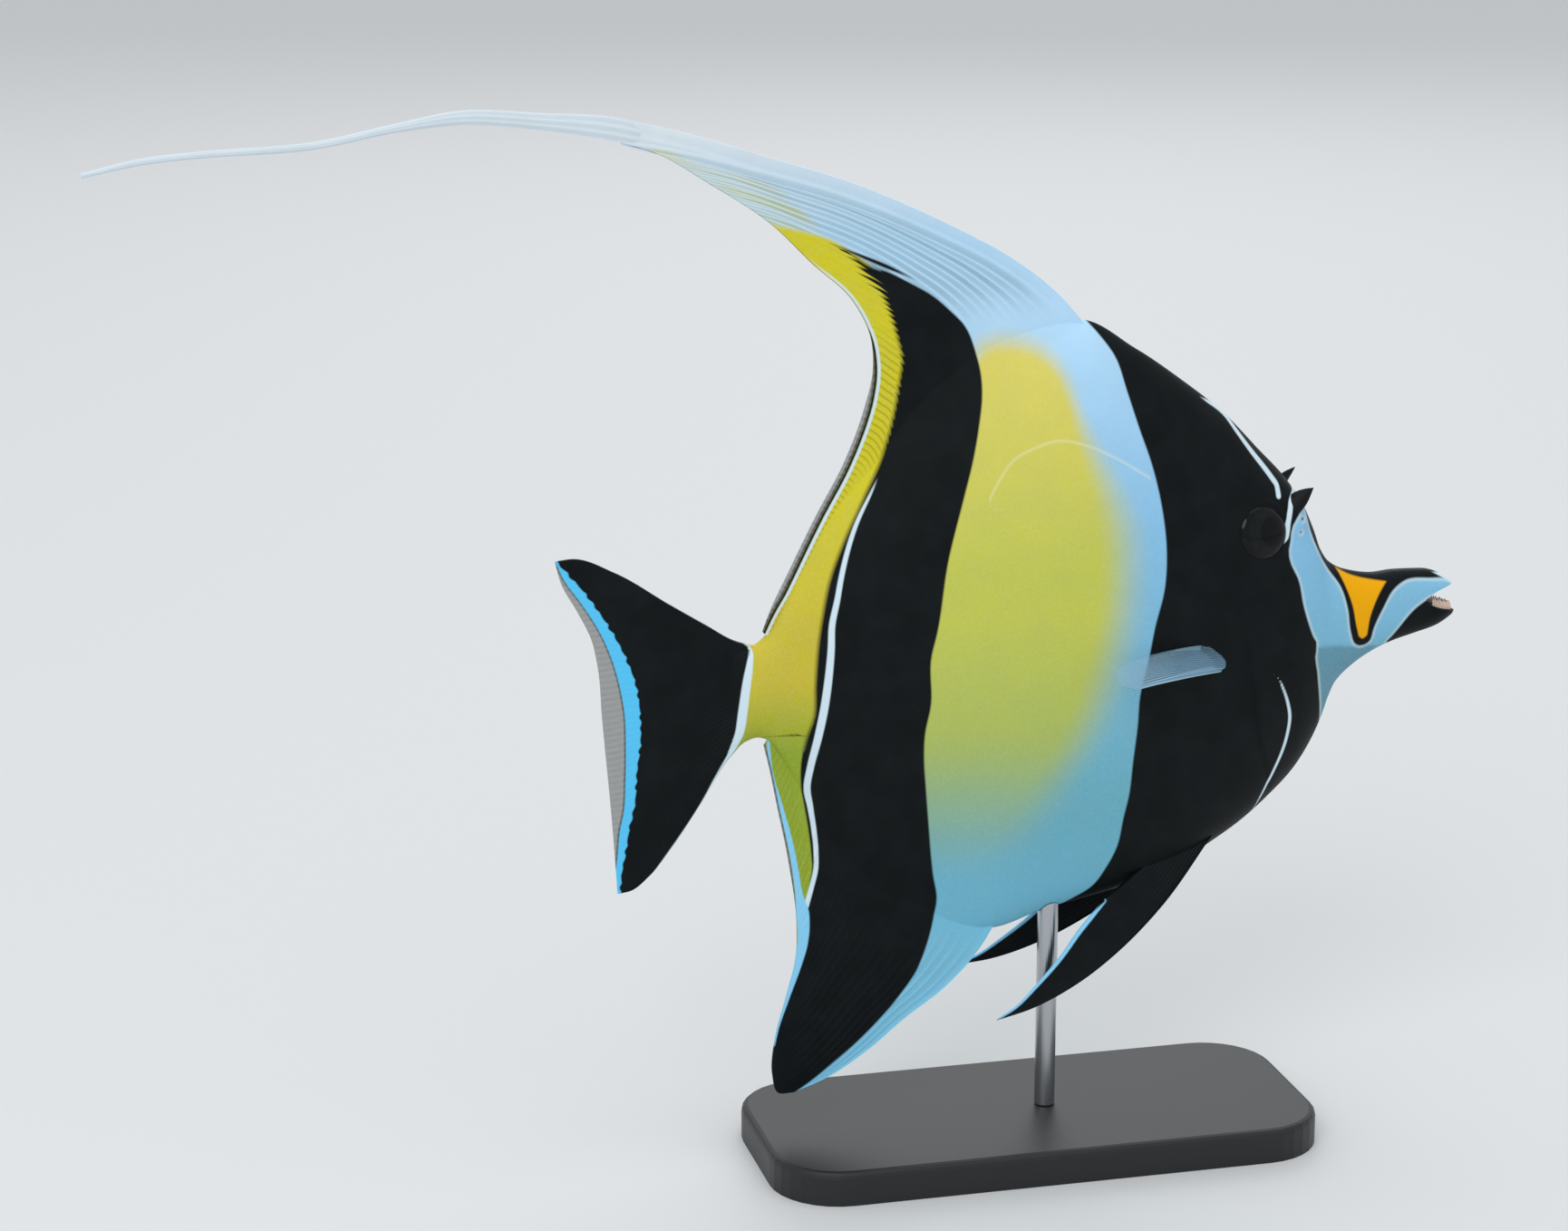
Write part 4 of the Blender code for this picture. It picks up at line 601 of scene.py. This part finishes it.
def painted_skin(name, fins):
    """Living skin under a thin wet film: satin, almost matt in the black, with a shagreen of tiny scales.

    Coats over one another, each spread by a field of distances, by height or by a cloudy noise. fins adds the
    streaks of the rays, the bright blue edges and the clear margins.
    """
    made, tree, shader = new_material(name)
    place_on = node(tree, "TexCoord").outputs["Object"]
    # cloudy variation of the pigment, about 7 mm across
    cloud = node(tree, "TexNoise", {"Vector": place_on, "Scale": 140.0, "Detail": 3.0}).outputs["Fac"]
    # speckle of single scales, about 0.6 mm, which are half that in life and would not show
    scale = node(tree, "TexVoronoi", {"Vector": place_on, "Scale": 1650.0}).outputs["Distance"]
    spot = node(tree, "SeparateXYZ", {0: place_on})

    def by_height(first, *steps):
        """Coats over the first colour, each spread from one height in metres to the next."""
        for low, high, code in steps:
            first = coat(tree, first, code, spot.outputs["Z"], low, high)
        return first

    # white with a blue cast, bluer towards the belly; lemon yellow, greener towards the belly. All three
    # colours are also darker low down, about the belly, and lighter higher up: painted shade and light, as
    # from light falling from above
    pale = by_height("#7ccdf0", (0.04, 0.08, "#6ab3c8"), (0.09, 0.15, "#8ac5ec"), (0.15, 0.20, "#bce2fe"),
                     (0.215, 0.240, "#e2ebf2"))
    # painted shade under the jaw: the pale skin darkens to a grey blue
    pale = coat(tree, pale, "#528496", "shade", most=0.7)
    yellow = by_height("#a4bb62", (0.09, 0.13, "#c6cb4e"), (0.14, 0.19, "#e2d460"))
    strip = by_height("#94aa1a", (0.100, 0.117, "#cdbd2c"), (0.13, 0.16, "#d8cd0c"))
    colour = coat(tree, pale, yellow, "yellow")
    colour = coat(tree, colour, strip, "strip")
    colour = coat(tree, colour, "#7f9a86", cloud, 0.35, 0.75, 0.08)
    colour = coat(tree, colour, "#f4f8f2", scale, 0.15, 0.85, 0.05)
    dark = "dark"
    if fins:
        # between pale rays the film is greyer
        colour = coat(tree, colour, "#86a9b8", "ray", 0.8, 0.0, "film")
        # a ray's branches, about 1.5 mm apart, are dark hairs in the yellow and teeth on the black's edge
        branch = node(tree, "Math", {0: "number", 1: 0.25}, operation="PINGPONG").outputs[0]
        colour = coat(tree, colour, "#4a4d10", branch, 0.12, 0.02, "hair")
        tooth = node(tree, "MapRange", {"Value": branch, "From Max": 0.25, "To Max": "saw"}).outputs[0]
        dark = node(tree, "Math", {0: "dark", 1: tooth}, operation="ADD").outputs[0]
    # on the face the pale skin has a brighter rim, 0.6 mm wide, along the black
    near_black = {"Value": dark, "From Min": -0.9, "From Max": -0.3, "To Max": 0.5}
    rim = node(tree, "MapRange", near_black).outputs[0]
    colour = coat(tree, colour, "#dce6e2", spot.outputs["X"], 0.053, 0.058, rim)
    black = coat(tree, "#090e10", "#0e1517", cloud, 0.35, 0.7)
    colour = coat(tree, colour, black, dark, -EDGE, EDGE)
    colour = coat(tree, colour, "#f4ac00", "orange", -EDGE, EDGE)
    colour = coat(tree, colour, "#d6eaf4", "pale", -THIN_EDGE, THIN_EDGE)
    off_line = node(tree, "Math", {0: "blue" if fins else "lateral"}, operation="ABSOLUTE").outputs[0]
    if fins:
        blue = node(tree, "Math", {0: "blue_width", 1: off_line}, operation="SUBTRACT").outputs[0]
        colour = coat(tree, colour, coat(tree, "#e4f0f6", "#5ccbfb", "azure"), blue, -THIN_EDGE, THIN_EDGE)
        # the rays show faintly in the clear margin, which starts with a dark line on the dorsal fin
        colour = coat(tree, colour, coat(tree, "#5c605c", "#7b807c", "ray", 0.2, 0.9), "clear",
                      -CLEAR_EDGE, CLEAR_EDGE)
        colour = coat(tree, colour, "#12181a", "fringe", -CLEAR_EDGE, CLEAR_EDGE)
        see_through = {"Value": "clear", "From Max": 0.4, "To Min": 1.0, "To Max": 0.45}
        wire(tree, shader, {"Alpha": node(tree, "MapRange", see_through).outputs[0]})
    else:
        colour = coat(tree, colour, "#f2f2cc", off_line, 0.5, 0.1, 0.3)
        colour = coat(tree, colour, "#5a3230", "gum", -0.05, 0.1)
    relief = node(tree, "MapRange", {"Value": scale, "From Min": 0.15, "From Max": 0.85}).outputs[0]
    bump = node(tree, "Bump", {"Height": relief, "Strength": 0.15, "Distance": 0.0001}).outputs[0]
    wire(tree, shader, {"Base Color": colour, "Roughness": 0.5, "Specular IOR Level": 0.12, "Normal": bump})
    return made


def wet_eye():
    """Cornea over a near-black iris: mirror-smooth, with a cornea's weak 1.376 refraction.

    Coats by the distance in mm from the pupil's middle: black pupil, grained iris and its darker rim.
    """
    made, tree, shader = new_material("cornea over dark iris")
    place_on = node(tree, "TexCoord").outputs["Object"]
    # the iris has grains of about 1 mm
    grain = node(tree, "TexNoise", {"Vector": place_on, "Scale": 900.0, "Detail": 4.0}).outputs["Fac"]
    iris = coat(tree, "#0a0e0f", "#121716", grain, 0.3, 0.7)
    iris = coat(tree, iris, "#070a0b", "pupil", 5.6, 6.4)
    colour = coat(tree, "#020304", iris, "pupil", 3.3, 3.6)
    wire(tree, shader, {"Base Color": colour, "Roughness": 0.08, "IOR": 1.376, "Specular IOR Level": 0.3})
    return made


def film_material():
    """Clear fin film: thin, bluish and see-through, with paler and denser rays."""
    made, tree, shader = new_material("clear fin film with rays")
    colour = coat(tree, "#6c9cb8", "#b4d6ea", "ray", 0.2)
    dense = node(tree, "MapRange", {"Value": "ray", "From Min": 0.2, "To Max": 0.22}).outputs[0]
    alpha = node(tree, "Math", {0: dense, 1: "body"}, operation="ADD", use_clamp=True).outputs[0]
    wire(tree, shader, {"Base Color": colour, "Roughness": 0.3, "Alpha": alpha})
    return made


def plain(name, colour, roughness, more=()):
    """One colour and roughness all over, and more of the shader's inputs where the real finish has them."""
    made, tree, shader = new_material(name)
    wire(tree, shader, {"Base Color": colour, "Roughness": roughness, **dict(more)})
    return made


# Fins
def fan(rays, columns, fork):
    """Shares across the rays and along them, crowded towards the edge, and how much of a ray each point has.

    A ray is a bell-shaped ridge. Past the share fork it parts into two, which drift a quarter of the spacing
    to either side.
    """
    across = np.linspace(0.0, 1.0, (rays - 1) * ROWS_PER_RAY + 1)[:, None]
    along = 1 - (1 - np.linspace(0.0, 1.0, columns)[None, :]) ** 1.5
    off_ray = (across * (rays - 1) + 0.5) % 1.0 - 0.5
    apart = 0.25 * smooth_step((along - fork) / (1 - fork))
    crest = bell(np.minimum(np.abs(off_ray - apart), np.abs(off_ray + apart)), RAY_REACH)
    return across, along, crest


def patch(root, edge, first, last, across, along):
    """Surface between four curves: straight blends both ways, less the blend of the corners."""
    u, t = across[..., None], along[..., None]
    out = (1 - t) * root[:, None] + t * edge[:, None]
    down = (1 - u) * first[None] + u * last[None]
    corners = (1 - u) * ((1 - t) * root[0] + t * edge[0]) + u * ((1 - t) * root[-1] + t * edge[-1])
    return out + down - corners


def seat_line(outline, start, end, share, inward):
    """Root of a fin: the body's outline between two x, moved into the body by FIN_SUNK."""
    fine = np.linspace(start, end, 400)
    line = np.stack([fine, pchip(outline, fine)], -1)
    tangent = unit(np.gradient(line, axis=0))
    return spaced(line + np.stack([-tangent[:, 1], tangent[:, 0]], -1) * inward * FIN_SUNK, share)


def seated_fin(outline, start, end, inward, lead, trail, sweep, across, along):
    """Flat fin on the body's outline, a patch whose rays end along the trailing edge by sweep.

    The first ray goes on into the body in the line of the leading edge. The second result is each point's
    distance in mm from the sunk root.
    """
    root = seat_line(outline, start, end, across[:, 0], inward)
    edge_line = [lead[-1], *trail]
    edge = curve(edge_line, pchip(sweep, across[:, 0]))
    seat = np.array([start, float(pchip(outline, start))])
    deep = seat + unit(seat - lead[0]) * FIN_SUNK
    root = root + (deep - root[0]) * np.clip(1 - 9 * across, 0, 1) ** 2
    flat = patch(root, edge, curve([tuple(deep), tuple(seat), *lead], along[0]),
                 curve([tuple(root[-1]), edge_line[-1]], along[0]), across, along)
    return flat, np.linalg.norm(flat - flat[:, :1], axis=-1)


def fin_half(crest, t, root_half, edge_half, ridge, lead=0.0, rise=None):
    """Half the fin's thickness: a film that thins outwards, the rays' ridges, and a thicker leading edge.

    rise is the distance in mm from the sunk root. The root flares by an exponential of it to meet the skin,
    and the ridges start above the skin.
    """
    u = np.linspace(0.0, 1.0, crest.shape[0])[:, None]
    out = edge_half + (root_half - edge_half) * (1 - t) ** 1.6
    if rise is not None:
        out = out + ROOT_FLARE * np.exp(-rise / FLARE_REACH)
        ridge = ridge * smooth_step((rise - FIN_SUNK) / 12.0)
    return out + ridge * crest * (1 - 0.75 * t ** 2) + lead * bell(u, 0.012) * (1 - t ** 4)


def upright(flat):
    """Points in x and z, set on the middle plane with its sway."""
    return np.stack([flat[..., 0], sway(flat[..., 0]), flat[..., 1]], -1)


def sideways(half):
    """Offsets straight out to the side, by half the thickness."""
    return np.stack([np.zeros_like(half), half, np.zeros_like(half)], -1)


def twice(values):
    """A grid's field for both faces of its blade."""
    return np.concatenate([values.ravel(), values.ravel()])


def finish_fin(name, middle, offset, crest, finish, **fields):
    """Blade with the body's markings, changed or added to by the given fields."""
    mesh = blade(name, middle, offset)
    x, z = middle[..., 0], middle[..., 2]
    marks = {**dict.fromkeys(("blue", "film", "hair", "number", "saw"), 0.0), "azure": 1.0,
             **dict.fromkeys(("blue_width", "clear", "fringe"), -FAR), **markings(x, z), **fields}
    spread = {label: twice(np.broadcast_to(value, x.shape)) for label, value in marks.items()}
    give(mesh, ray=twice(crest), **spread)
    return place(name, mesh, finish, FIN_CREASE)


def dorsal_fin(finish):
    """Dorsal fin: a ribbed patch on the back, with its own edges of paint.

    The second band's rear edge has teeth where the rays branch, dark hairs stand in the yellow, and the clear
    margin's width and the white line inside it change with height.
    """
    rays = 42
    across, along, crest = fan(rays, columns=96, fork=0.68)
    flat, rise = seated_fin(BACK, NAPE_X, DORSAL_END_X, 1, DORSAL_LEAD, DORSAL_TRAIL, DORSAL_SWEEP,
                            across, along)
    x, z = flat[..., 0], flat[..., 1]
    trail = np.abs(line_distance(x, z, DORSAL_TRAIL, 120)[0])
    rear, front = line_distance(x, z, BAND2_REAR)[0], line_distance(x, z, BAND2_FRONT)[0]
    number = across * (rays - 1) * np.ones_like(x)
    uneven = np.sin(2.7 * np.floor(number))
    # teeth on the black's rear edge, uneven from ray to ray and up to 1.3 mm long at the top
    saw = np.where(np.abs(rear) < np.abs(front), 0.7 + 0.3 * uneven, 0.0)
    saw *= np.interp(z, [150, 165, 195, 212], [0.0, 0.2, 0.3, 1.3])
    marks = markings(x, z)
    sliver, share = line_distance(x, z, FIN_SLIVER)
    sliver = pchip([(0.0, -0.1), (0.25, 0.25), (0.6, 0.45), (1.0, -0.1)], share) - np.abs(sliver)
    # yellow runs up between the rays towards the filament
    streaks = smooth_step(inside(x, z, YELLOW_STREAKS) / 2.5) * (1 - crest)
    streaks *= 0.6 + 0.35 * np.sin(1.9 * np.floor(number))
    strip = marks["strip"]
    # dark hairs in the yellow, near the edge and all over it higher up
    hair = np.maximum(smooth_step((4.4 - trail) / 1.5), smooth_step((z - 160) / 8))
    hair = strip * hair * smooth_step((200 - z) / 14)
    film = 0.8 * smooth_step((rise - 6.0) / 16.0) * (1 - strip)
    film = film * smooth_step(across / 0.05) * (1 - 0.4 * along)
    half = fin_half(crest, along, *WEB, lead=0.42, rise=rise)
    margin = np.interp(z, [126, 136, 178, 196], [0.3, 1.5, 1.5, 0.0])
    behind = x < MARGIN_X
    return finish_fin("dorsal_web", upright(flat), sideways(half), crest, finish,
                      dark=np.maximum(marks["dark"], sliver) - 0.5 * saw, saw=saw,
                      strip=np.maximum(strip, streaks), hair=0.35 * hair, number=number, azure=0.15,
                      film=film * (0.8 + 0.2 * uneven), blue=trail - margin - 0.45,
                      blue_width=np.interp(z, [128, 150, 192, 208, 218], [0.3, 0.38, 0.36, 0.2, -0.5]),
                      clear=np.where(behind, margin - trail - 0.5, -FAR),
                      fringe=np.where(behind, 0.3 - np.abs(trail - margin + 0.25), -FAR))


def streamer(finish):
    """The dorsal fin's filament: a flat ribbon that narrows to a thread, between its upper and lower edge."""
    along = np.linspace(0.0, 1.0, 150)
    top, foot = curve(FILAMENT_TOP, along), curve(FILAMENT_FOOT, along)
    across = np.linspace(0.0, 1.0, 13)
    flat = foot[:, None] + (top - foot)[:, None] * across[None, :, None]
    round_off = np.sqrt(np.clip(1 - (2 * across - 1) ** 2, 0.06, 1))
    half = ((0.62 - 0.2 * along) * smooth_step(along / 0.05 + 0.1))[:, None] * round_off[None, :]
    ribs = (0.5 + 0.5 * np.cos(2 * math.pi * across * 3)) ** 2
    half = half + 0.06 * ribs[None, :] * (1 - along[:, None])
    crest = np.broadcast_to(ribs[None, :], half.shape)
    return finish_fin("dorsal_streamer", upright(flat), sideways(half), crest, finish,
                      dark=-FAR, yellow=0.0, strip=0.0, film=0.25)


def anal_fin(finish):
    """Anal fin: a ribbed patch under the belly, with a blue line along its rear and a thin clear margin."""
    rays = 32
    across, along, crest = fan(rays, columns=84, fork=0.55)
    flat, rise = seated_fin(BELLY, VENT_X, ANAL_END_X, -1, ANAL_LEAD, ANAL_TRAIL, ANAL_SWEEP, across, along)
    x, z = flat[..., 0], flat[..., 1]
    trail = np.abs(line_distance(x, z, ANAL_TRAIL, 120)[0])
    blue, share = line_distance(x, z, ANAL_BLUE)
    film = 0.3 * smooth_step((rise - 4.0) / 10.0) * (x > -52.0)
    half = fin_half(crest, along, *WEB, lead=0.3, rise=rise)
    return finish_fin("anal_web", upright(flat), sideways(half), crest, finish,
                      blue=blue, blue_width=pchip(ANAL_BLUE_WIDTH, share), azure=0.75, film=film,
                      number=across * (rays - 1), hair=0.15 * smooth_step((5.0 - trail) / 1.5),
                      clear=0.5 * smooth_step((z - 58.0) / 16.0) - 0.1 - trail)


def tail_fin(finish):
    """Tail fin: a ribbed patch behind the stalk, black up to a blue edge that is scalloped by the rays.

    Its root is as oval as the stalk's end, so that its corners don't stand out of it.
    """
    rays = 30
    across, along, crest = fan(rays, columns=80, fork=0.45)
    top, foot = np.array(TAIL_TOP), np.array(TAIL_FOOT)
    drop = (TAIL_TOP[1] - np.array([TAIL_ROOT_TOP, TAIL_ROOT_FOOT])) / (TAIL_TOP[1] - TAIL_FOOT[1])
    start, end = top + (foot - top) * drop[0], top + (foot - top) * drop[1]
    root = start + np.array([TAIL_SUNK, 0.0]) + (end - start) * across
    flat = patch(root, curve(TAIL_EDGE, across[:, 0]), curve([tuple(root[0]), *TAIL_UPPER], along[0]),
                 curve([tuple(root[-1]), *TAIL_LOWER], along[0]), across, along)
    x, z = flat[..., 0], flat[..., 1]
    number = across * (rays - 1)
    scallop = 0.22 * np.cos(2 * math.pi * number) * (0.7 + 0.5 * np.sin(2.3 * np.floor(number)))
    beyond_in = -line_distance(x, z, TAIL_BLUE_IN)[0] + scallop
    beyond_out = -line_distance(x, z, TAIL_BLUE_OUT)[0]
    root_half = 0.5 + 1.6 * np.sqrt(np.clip(1 - np.abs(2 * across - 1) ** OVAL_POWER, 0, 1))
    half = fin_half(crest, along, root_half, *WEB[1:], lead=0.2)
    return finish_fin("tail_web", upright(flat), sideways(half), crest, finish, strip=1.0,
                      blue_width=np.minimum(beyond_in, -beyond_out), clear=beyond_out + 0.1)


def pectoral_fins(finish):
    """Right and left pectoral fin: straight rays from a bulged root, spread between the first and last ray.

    Each ray is bowed by a sine and droops by the square of the share along it.
    """
    across, along, crest = fan(rays=18, columns=60, fork=0.5)
    ray = unit((1 - across) * np.array(PEC_FRONT_RAY) + across * np.array(PEC_REAR_RAY))
    length = pchip(PEC_LENGTHS, across[:, 0])[:, None, None]
    flat = np.array(PEC_ROOT_FRONT) + (np.array(PEC_ROOT_REAR) - np.array(PEC_ROOT_FRONT)) * across
    flat[:, 0] += PEC_ROOT_BULGE * (np.sin(math.pi * across[:, 0]) ** 0.6 - 0.5)
    root = np.stack([flat[:, 0], -half_thickness(flat[:, 0], flat[:, 1], False), flat[:, 1]], -1)
    t = along[..., None]
    rise = np.array([0.0, 0.0, 1.0]) * (PEC_BOW * np.sin(math.pi * t) - PEC_DROOP * t ** 2)
    bury = np.array([0.0, 1.0, 0.0]) * PEC_SUNK * (1 - t) ** 3
    middle = root[:, None] + ray[:, None] * length * t + bury + rise
    normal = unit(np.cross(np.gradient(middle, axis=0), np.gradient(middle, axis=1)))
    half = fin_half(crest, along, root_half=0.7, edge_half=0.16, ridge=0.12, lead=0.25)
    offset = half[..., None] * normal
    body = 0.6 - 0.3 * along ** 1.5 - 0.25 * across + 0.35 * bell(across, 0.07)
    made = []
    for side, label in SIDES:
        mirror = np.array([1.0, -side, 1.0])
        mesh = blade("pectoral_web_" + label, middle * mirror, offset * mirror)
        give(mesh, ray=twice(crest), body=twice(np.clip(body, 0.12, 1.0)))
        made.append(place("pectoral_web_" + label, mesh, finish, FIN_CREASE))
    return made


def pelvic_fins(finish):
    """Right and left pelvic fin: a ribbed patch that swings outwards, its left one turned up by its lift."""
    across, along, crest = fan(rays=12, columns=72, fork=0.6)
    front, rear = np.array(PELVIC_LEAD[0]), np.array(PELVIC_ROOT_REAR)
    root = front + (rear - front) * across
    flat = patch(root, curve(PELVIC_INNER, across[:, 0]), curve(PELVIC_LEAD, along[0]),
                 curve([tuple(rear), PELVIC_INNER[-1]], along[0]), across, along)
    swing = 1 - (1 - along) ** 2
    y_lead, y_inner = (PELVIC_Y_ROOT + (y - PELVIC_Y_ROOT) * swing for y in (PELVIC_Y_LEAD, PELVIC_Y_INNER))
    wide = y_lead * (1 - across) + y_inner * across
    x, z = flat[..., 0], flat[..., 1]
    trail, share = line_distance(x, z, PELVIC_INNER, 80)
    offset = sideways(fin_half(crest, along, root_half=0.9, edge_half=0.26, ridge=0.14, lead=0.35))
    blue_width = pchip([(0.0, 0.1), (0.3, 0.4), (0.8, 0.6), (1.0, 0.1)], share)
    made = []
    for side, label in SIDES:
        lift = math.radians(PELVIC_LIFT[label])
        dx, dz = x - front[0], z - front[1]
        middle = np.stack([front[0] + dx * math.cos(lift) + dz * math.sin(lift), side * wide,
                           front[1] - dx * math.sin(lift) + dz * math.cos(lift)], -1)
        made.append(finish_fin("pelvic_web_" + label, middle, offset, crest, finish, dark=FAR, pale=-FAR,
                               orange=-FAR, azure=0.75, blue=np.abs(trail) - 0.35, blue_width=blue_width))
    return made


# Eyes, thorns, teeth
def disc_frame(side):
    """Forward, across and up axes of an eye, turned and tilted as in the solids."""
    turn, tilt = math.radians(-side * EYE_TURN), math.radians(side * EYE_TILT)
    about_x = np.array([[1, 0, 0], [0, math.cos(tilt), -math.sin(tilt)], [0, math.sin(tilt), math.cos(tilt)]])
    about_z = np.array([[math.cos(turn), -math.sin(turn), 0], [math.sin(turn), math.cos(turn), 0], [0, 0, 1]])
    return (about_z @ about_x).T


def eyeball(side, label, finish):
    """Lens-shaped eye: a ball flattened along the axis that points outwards."""
    forward, across, up = disc_frame(side)
    rows, columns = 49, 96
    polar = np.linspace(0.0, math.pi, rows)[:, None]
    around = np.linspace(0.0, 2 * math.pi, columns, endpoint=False)[None, :]
    r = EYE_RADIUS * np.sin(polar)
    a, b = r * np.cos(around), r * np.sin(around)
    c = EYE_DEPTH * np.cos(polar) * np.ones_like(around)
    centre = np.array([EYE_X, side * EYE_Y, EYE_Z])
    verts = centre + a[..., None] * forward + b[..., None] * up + c[..., None] * side * across
    quads = rings_of(rows, columns)[0]
    mesh = make_mesh("eyeball_" + label, verts.reshape(-1, 3), quads[:, ::side])
    give(mesh, pupil=np.hypot(a - PUPIL_AHEAD, b - PUPIL_UP).ravel())
    return place("eyeball_" + label, turn_outwards(mesh, merge=1e-6), finish)


def tube(name, path, across, up, around=24):
    """Closed tube: an oval carried along a path, its two half axes given as vectors at each point."""
    angle = np.linspace(0.0, 2 * math.pi, around, endpoint=False)
    ring = np.cos(angle)[None, :, None] * across[:, None] + np.sin(angle)[None, :, None] * up[:, None]
    verts = np.concatenate([(path[:, None] + ring).reshape(-1, 3), path[:1], path[-1:]])
    quads, rings, after = rings_of(len(path), around)
    start, end = len(verts) - 2, len(verts) - 1
    caps = np.concatenate([np.stack([np.full(around, start), rings[0], after[0]], -1),
                           np.stack([np.full(around, end), after[1], rings[1]], -1)])
    mesh = bpy.data.meshes.new(name)
    mesh.from_pydata((verts * MM).tolist(), [], quads.tolist() + caps.tolist())
    return turn_outwards(mesh)


def thorn(side, label, finish):
    """Bony thorn before the eye: a flattened oval between its top and foot edges, which meet in a point."""
    s = np.linspace(0.0, 0.98, 30)
    mirror = np.array([1.0, side, 1.0])
    top, foot = curve(THORN_TOP, s) * mirror, curve(THORN_FOOT, s) * mirror
    centre, up = (top + foot) / 2, (top - foot) / 2
    if side > 0:
        centre = centre + s[:, None] * np.array(THORN_LEFT_REACH)
    across = unit(np.cross(np.gradient(centre, axis=0), up)) * (THORN_HALF * (1 - s) ** 0.8)[:, None]
    return place("thorn_" + label, tube("thorn_" + label, centre, across, up), finish)


def teeth(finish):
    """Lower teeth: fine bristles in a row round the jaw, each a tapered tube that leans inwards."""
    work = bmesh.new()
    s = np.linspace(0.0, 1.0, 7)
    row = curve(TOOTH_ROW, np.linspace(0.0, 1.0, TEETH))
    for k, ((x, y), (run_x, run_y)) in enumerate(zip(row, unit(np.gradient(row, axis=0)))):
        height = TOOTH_LENGTH + 0.15 * math.sin(2.3 * k)
        lean = 0.3 * s ** 2
        foot = TOOTH_FOOT + TOOTH_SLOPE * (x - TOOTH_ROW[0][0])
        centre = np.stack([x - lean * run_y, y + lean * run_x, foot + height * s], -1)
        width = (TOOTH_RADIUS * (1 - 0.5 * s ** 2))[:, None]
        across, up = 0.8 * width * [run_y, -run_x, 0.0], width * [run_x, run_y, 0.0]
        tooth = tube("tooth", centre, across, up, around=8)
        work.from_mesh(tooth)
        bpy.data.meshes.remove(tooth)
    joined = bpy.data.meshes.new("teeth")
    work.to_mesh(joined)
    work.free()
    return place("teeth", joined, finish, FIN_CREASE)


# Assembly
def fit(piece, slot, *nodes):
    """Hang a piece on the one body and hide the nodes that it stands for; slot is not used."""
    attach(piece, "root")
    if nodes:
        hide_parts(*nodes)


skin_paint = painted_skin("painted skin", False)
fin_paint = painted_skin("painted fin", True)
film = film_material()
eye_paint = wet_eye()
# dark and dull, with only a weak sheen
bone = plain("dark horny skin on bone", "#090b0d", 0.55, {"Specular IOR Level": 0.2})
# warm white that shines where it is wet
tooth_enamel = plain("tooth enamel", "#e2c6b4", 0.28)
# near black, with a soft wide sheen
lacquer = plain("black satin lacquer on wood", "#141517", 0.45)
# grey metal whose reflections are blurred by the brushing
steel = plain("brushed steel", "#b9bcc0", 0.3, {"Metallic": 1.0})

skin = place("skin", skin_mesh())
open_mouth(skin, skin_paint)
x, y, z = points_of(skin.data).T
mouth = inside(x, z, [MOUTH_CORNER, *UPPER_LIP_EDGE, *LOWER_LIP_EDGE[::-1]])
from_line, share = line_distance(x, z, LATERAL_LINE)
give(skin.data, gum=np.where(np.abs(y) < half_thickness(x, z, False) - 0.5, mouth + 0.1, -1.0),
     lateral=np.where((share > 0) & (share < 1), from_line, FAR), **markings(x, z))
fit(skin, "skin_yellow", "head", "upper_jaw", "lower_jaw", "trunk", "tail_stalk")

fit(dorsal_fin(fin_paint), "skin_pale", "dorsal_fin")
fit(streamer(fin_paint), "skin_pale", "dorsal_filament")
fit(anal_fin(fin_paint), "skin_black", "anal_fin")
fit(tail_fin(fin_paint), "skin_black", "tail_fin")
for made, node_name, slot in ((pectoral_fins(film), "pectoral_fin_", "fin_clear"),
                              (pelvic_fins(fin_paint), "pelvic_fin_", "skin_black")):
    for piece, (side, label) in zip(made, SIDES):
        fit(piece, slot, node_name + label)
for side, label in SIDES:
    fit(eyeball(side, label, eye_paint), "eye", "eye_" + label)
    fit(thorn(side, label, bone), "horn", "horn_" + label)
fit(teeth(tooth_enamel), "skin_pale")

for label, finish in (("stand_base", lacquer), ("stand_rod", steel)):
    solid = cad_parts[label]
    solid.data.materials.clear()
    solid.data.materials.append(finish)

# Floor, light, camera
bpy.ops.mesh.primitive_plane_add(size=FLOOR_SIZE, location=(0.0, 0.0, 0.0))
floor = bpy.context.object
floor.name = "floor"
# pale and matt, so that it only carries the shadow
floor.data.materials.append(plain("pale matt floor", "#dddedf", 0.8))


def put(name, data, spot, aim):
    """A lamp or camera at a spot in metres, turned so that its own -Z looks at the aim."""
    made = bpy.data.objects.new(name, data)
    bpy.context.scene.collection.objects.link(made)
    made.location = spot
    made.rotation_euler = (Vector(aim) - Vector(spot)).to_track_quat("-Z", "Y").to_euler()
    return made


for label, spot, size, power in LAMPS:
    lamp = bpy.data.lights.new(label, "AREA")
    lamp.shape, lamp.size, lamp.energy = "DISK", size, power
    put(label, lamp, spot, LAMP_AIM)
world = bpy.data.worlds.new("soft studio")
world.use_nodes = True
wire(world.node_tree, world.node_tree.nodes["Background"], {"Color": ROOM_COLOUR, "Strength": ROOM_STRENGTH})
bpy.context.scene.world = world
bpy.context.scene.view_settings.view_transform = "Standard"

lens = bpy.data.cameras.new("camera")
lens.lens, lens.sensor_width = 85.0, 36.0
turn, rise = math.radians(CAMERA_TURN), math.radians(CAMERA_RISE)
away = Vector((-math.sin(turn) * math.cos(rise), -math.cos(turn) * math.cos(rise), math.sin(rise)))
bpy.context.scene.camera = put("camera", lens, Vector(CAMERA_AIM) + CAMERA_AWAY * away, CAMERA_AIM)
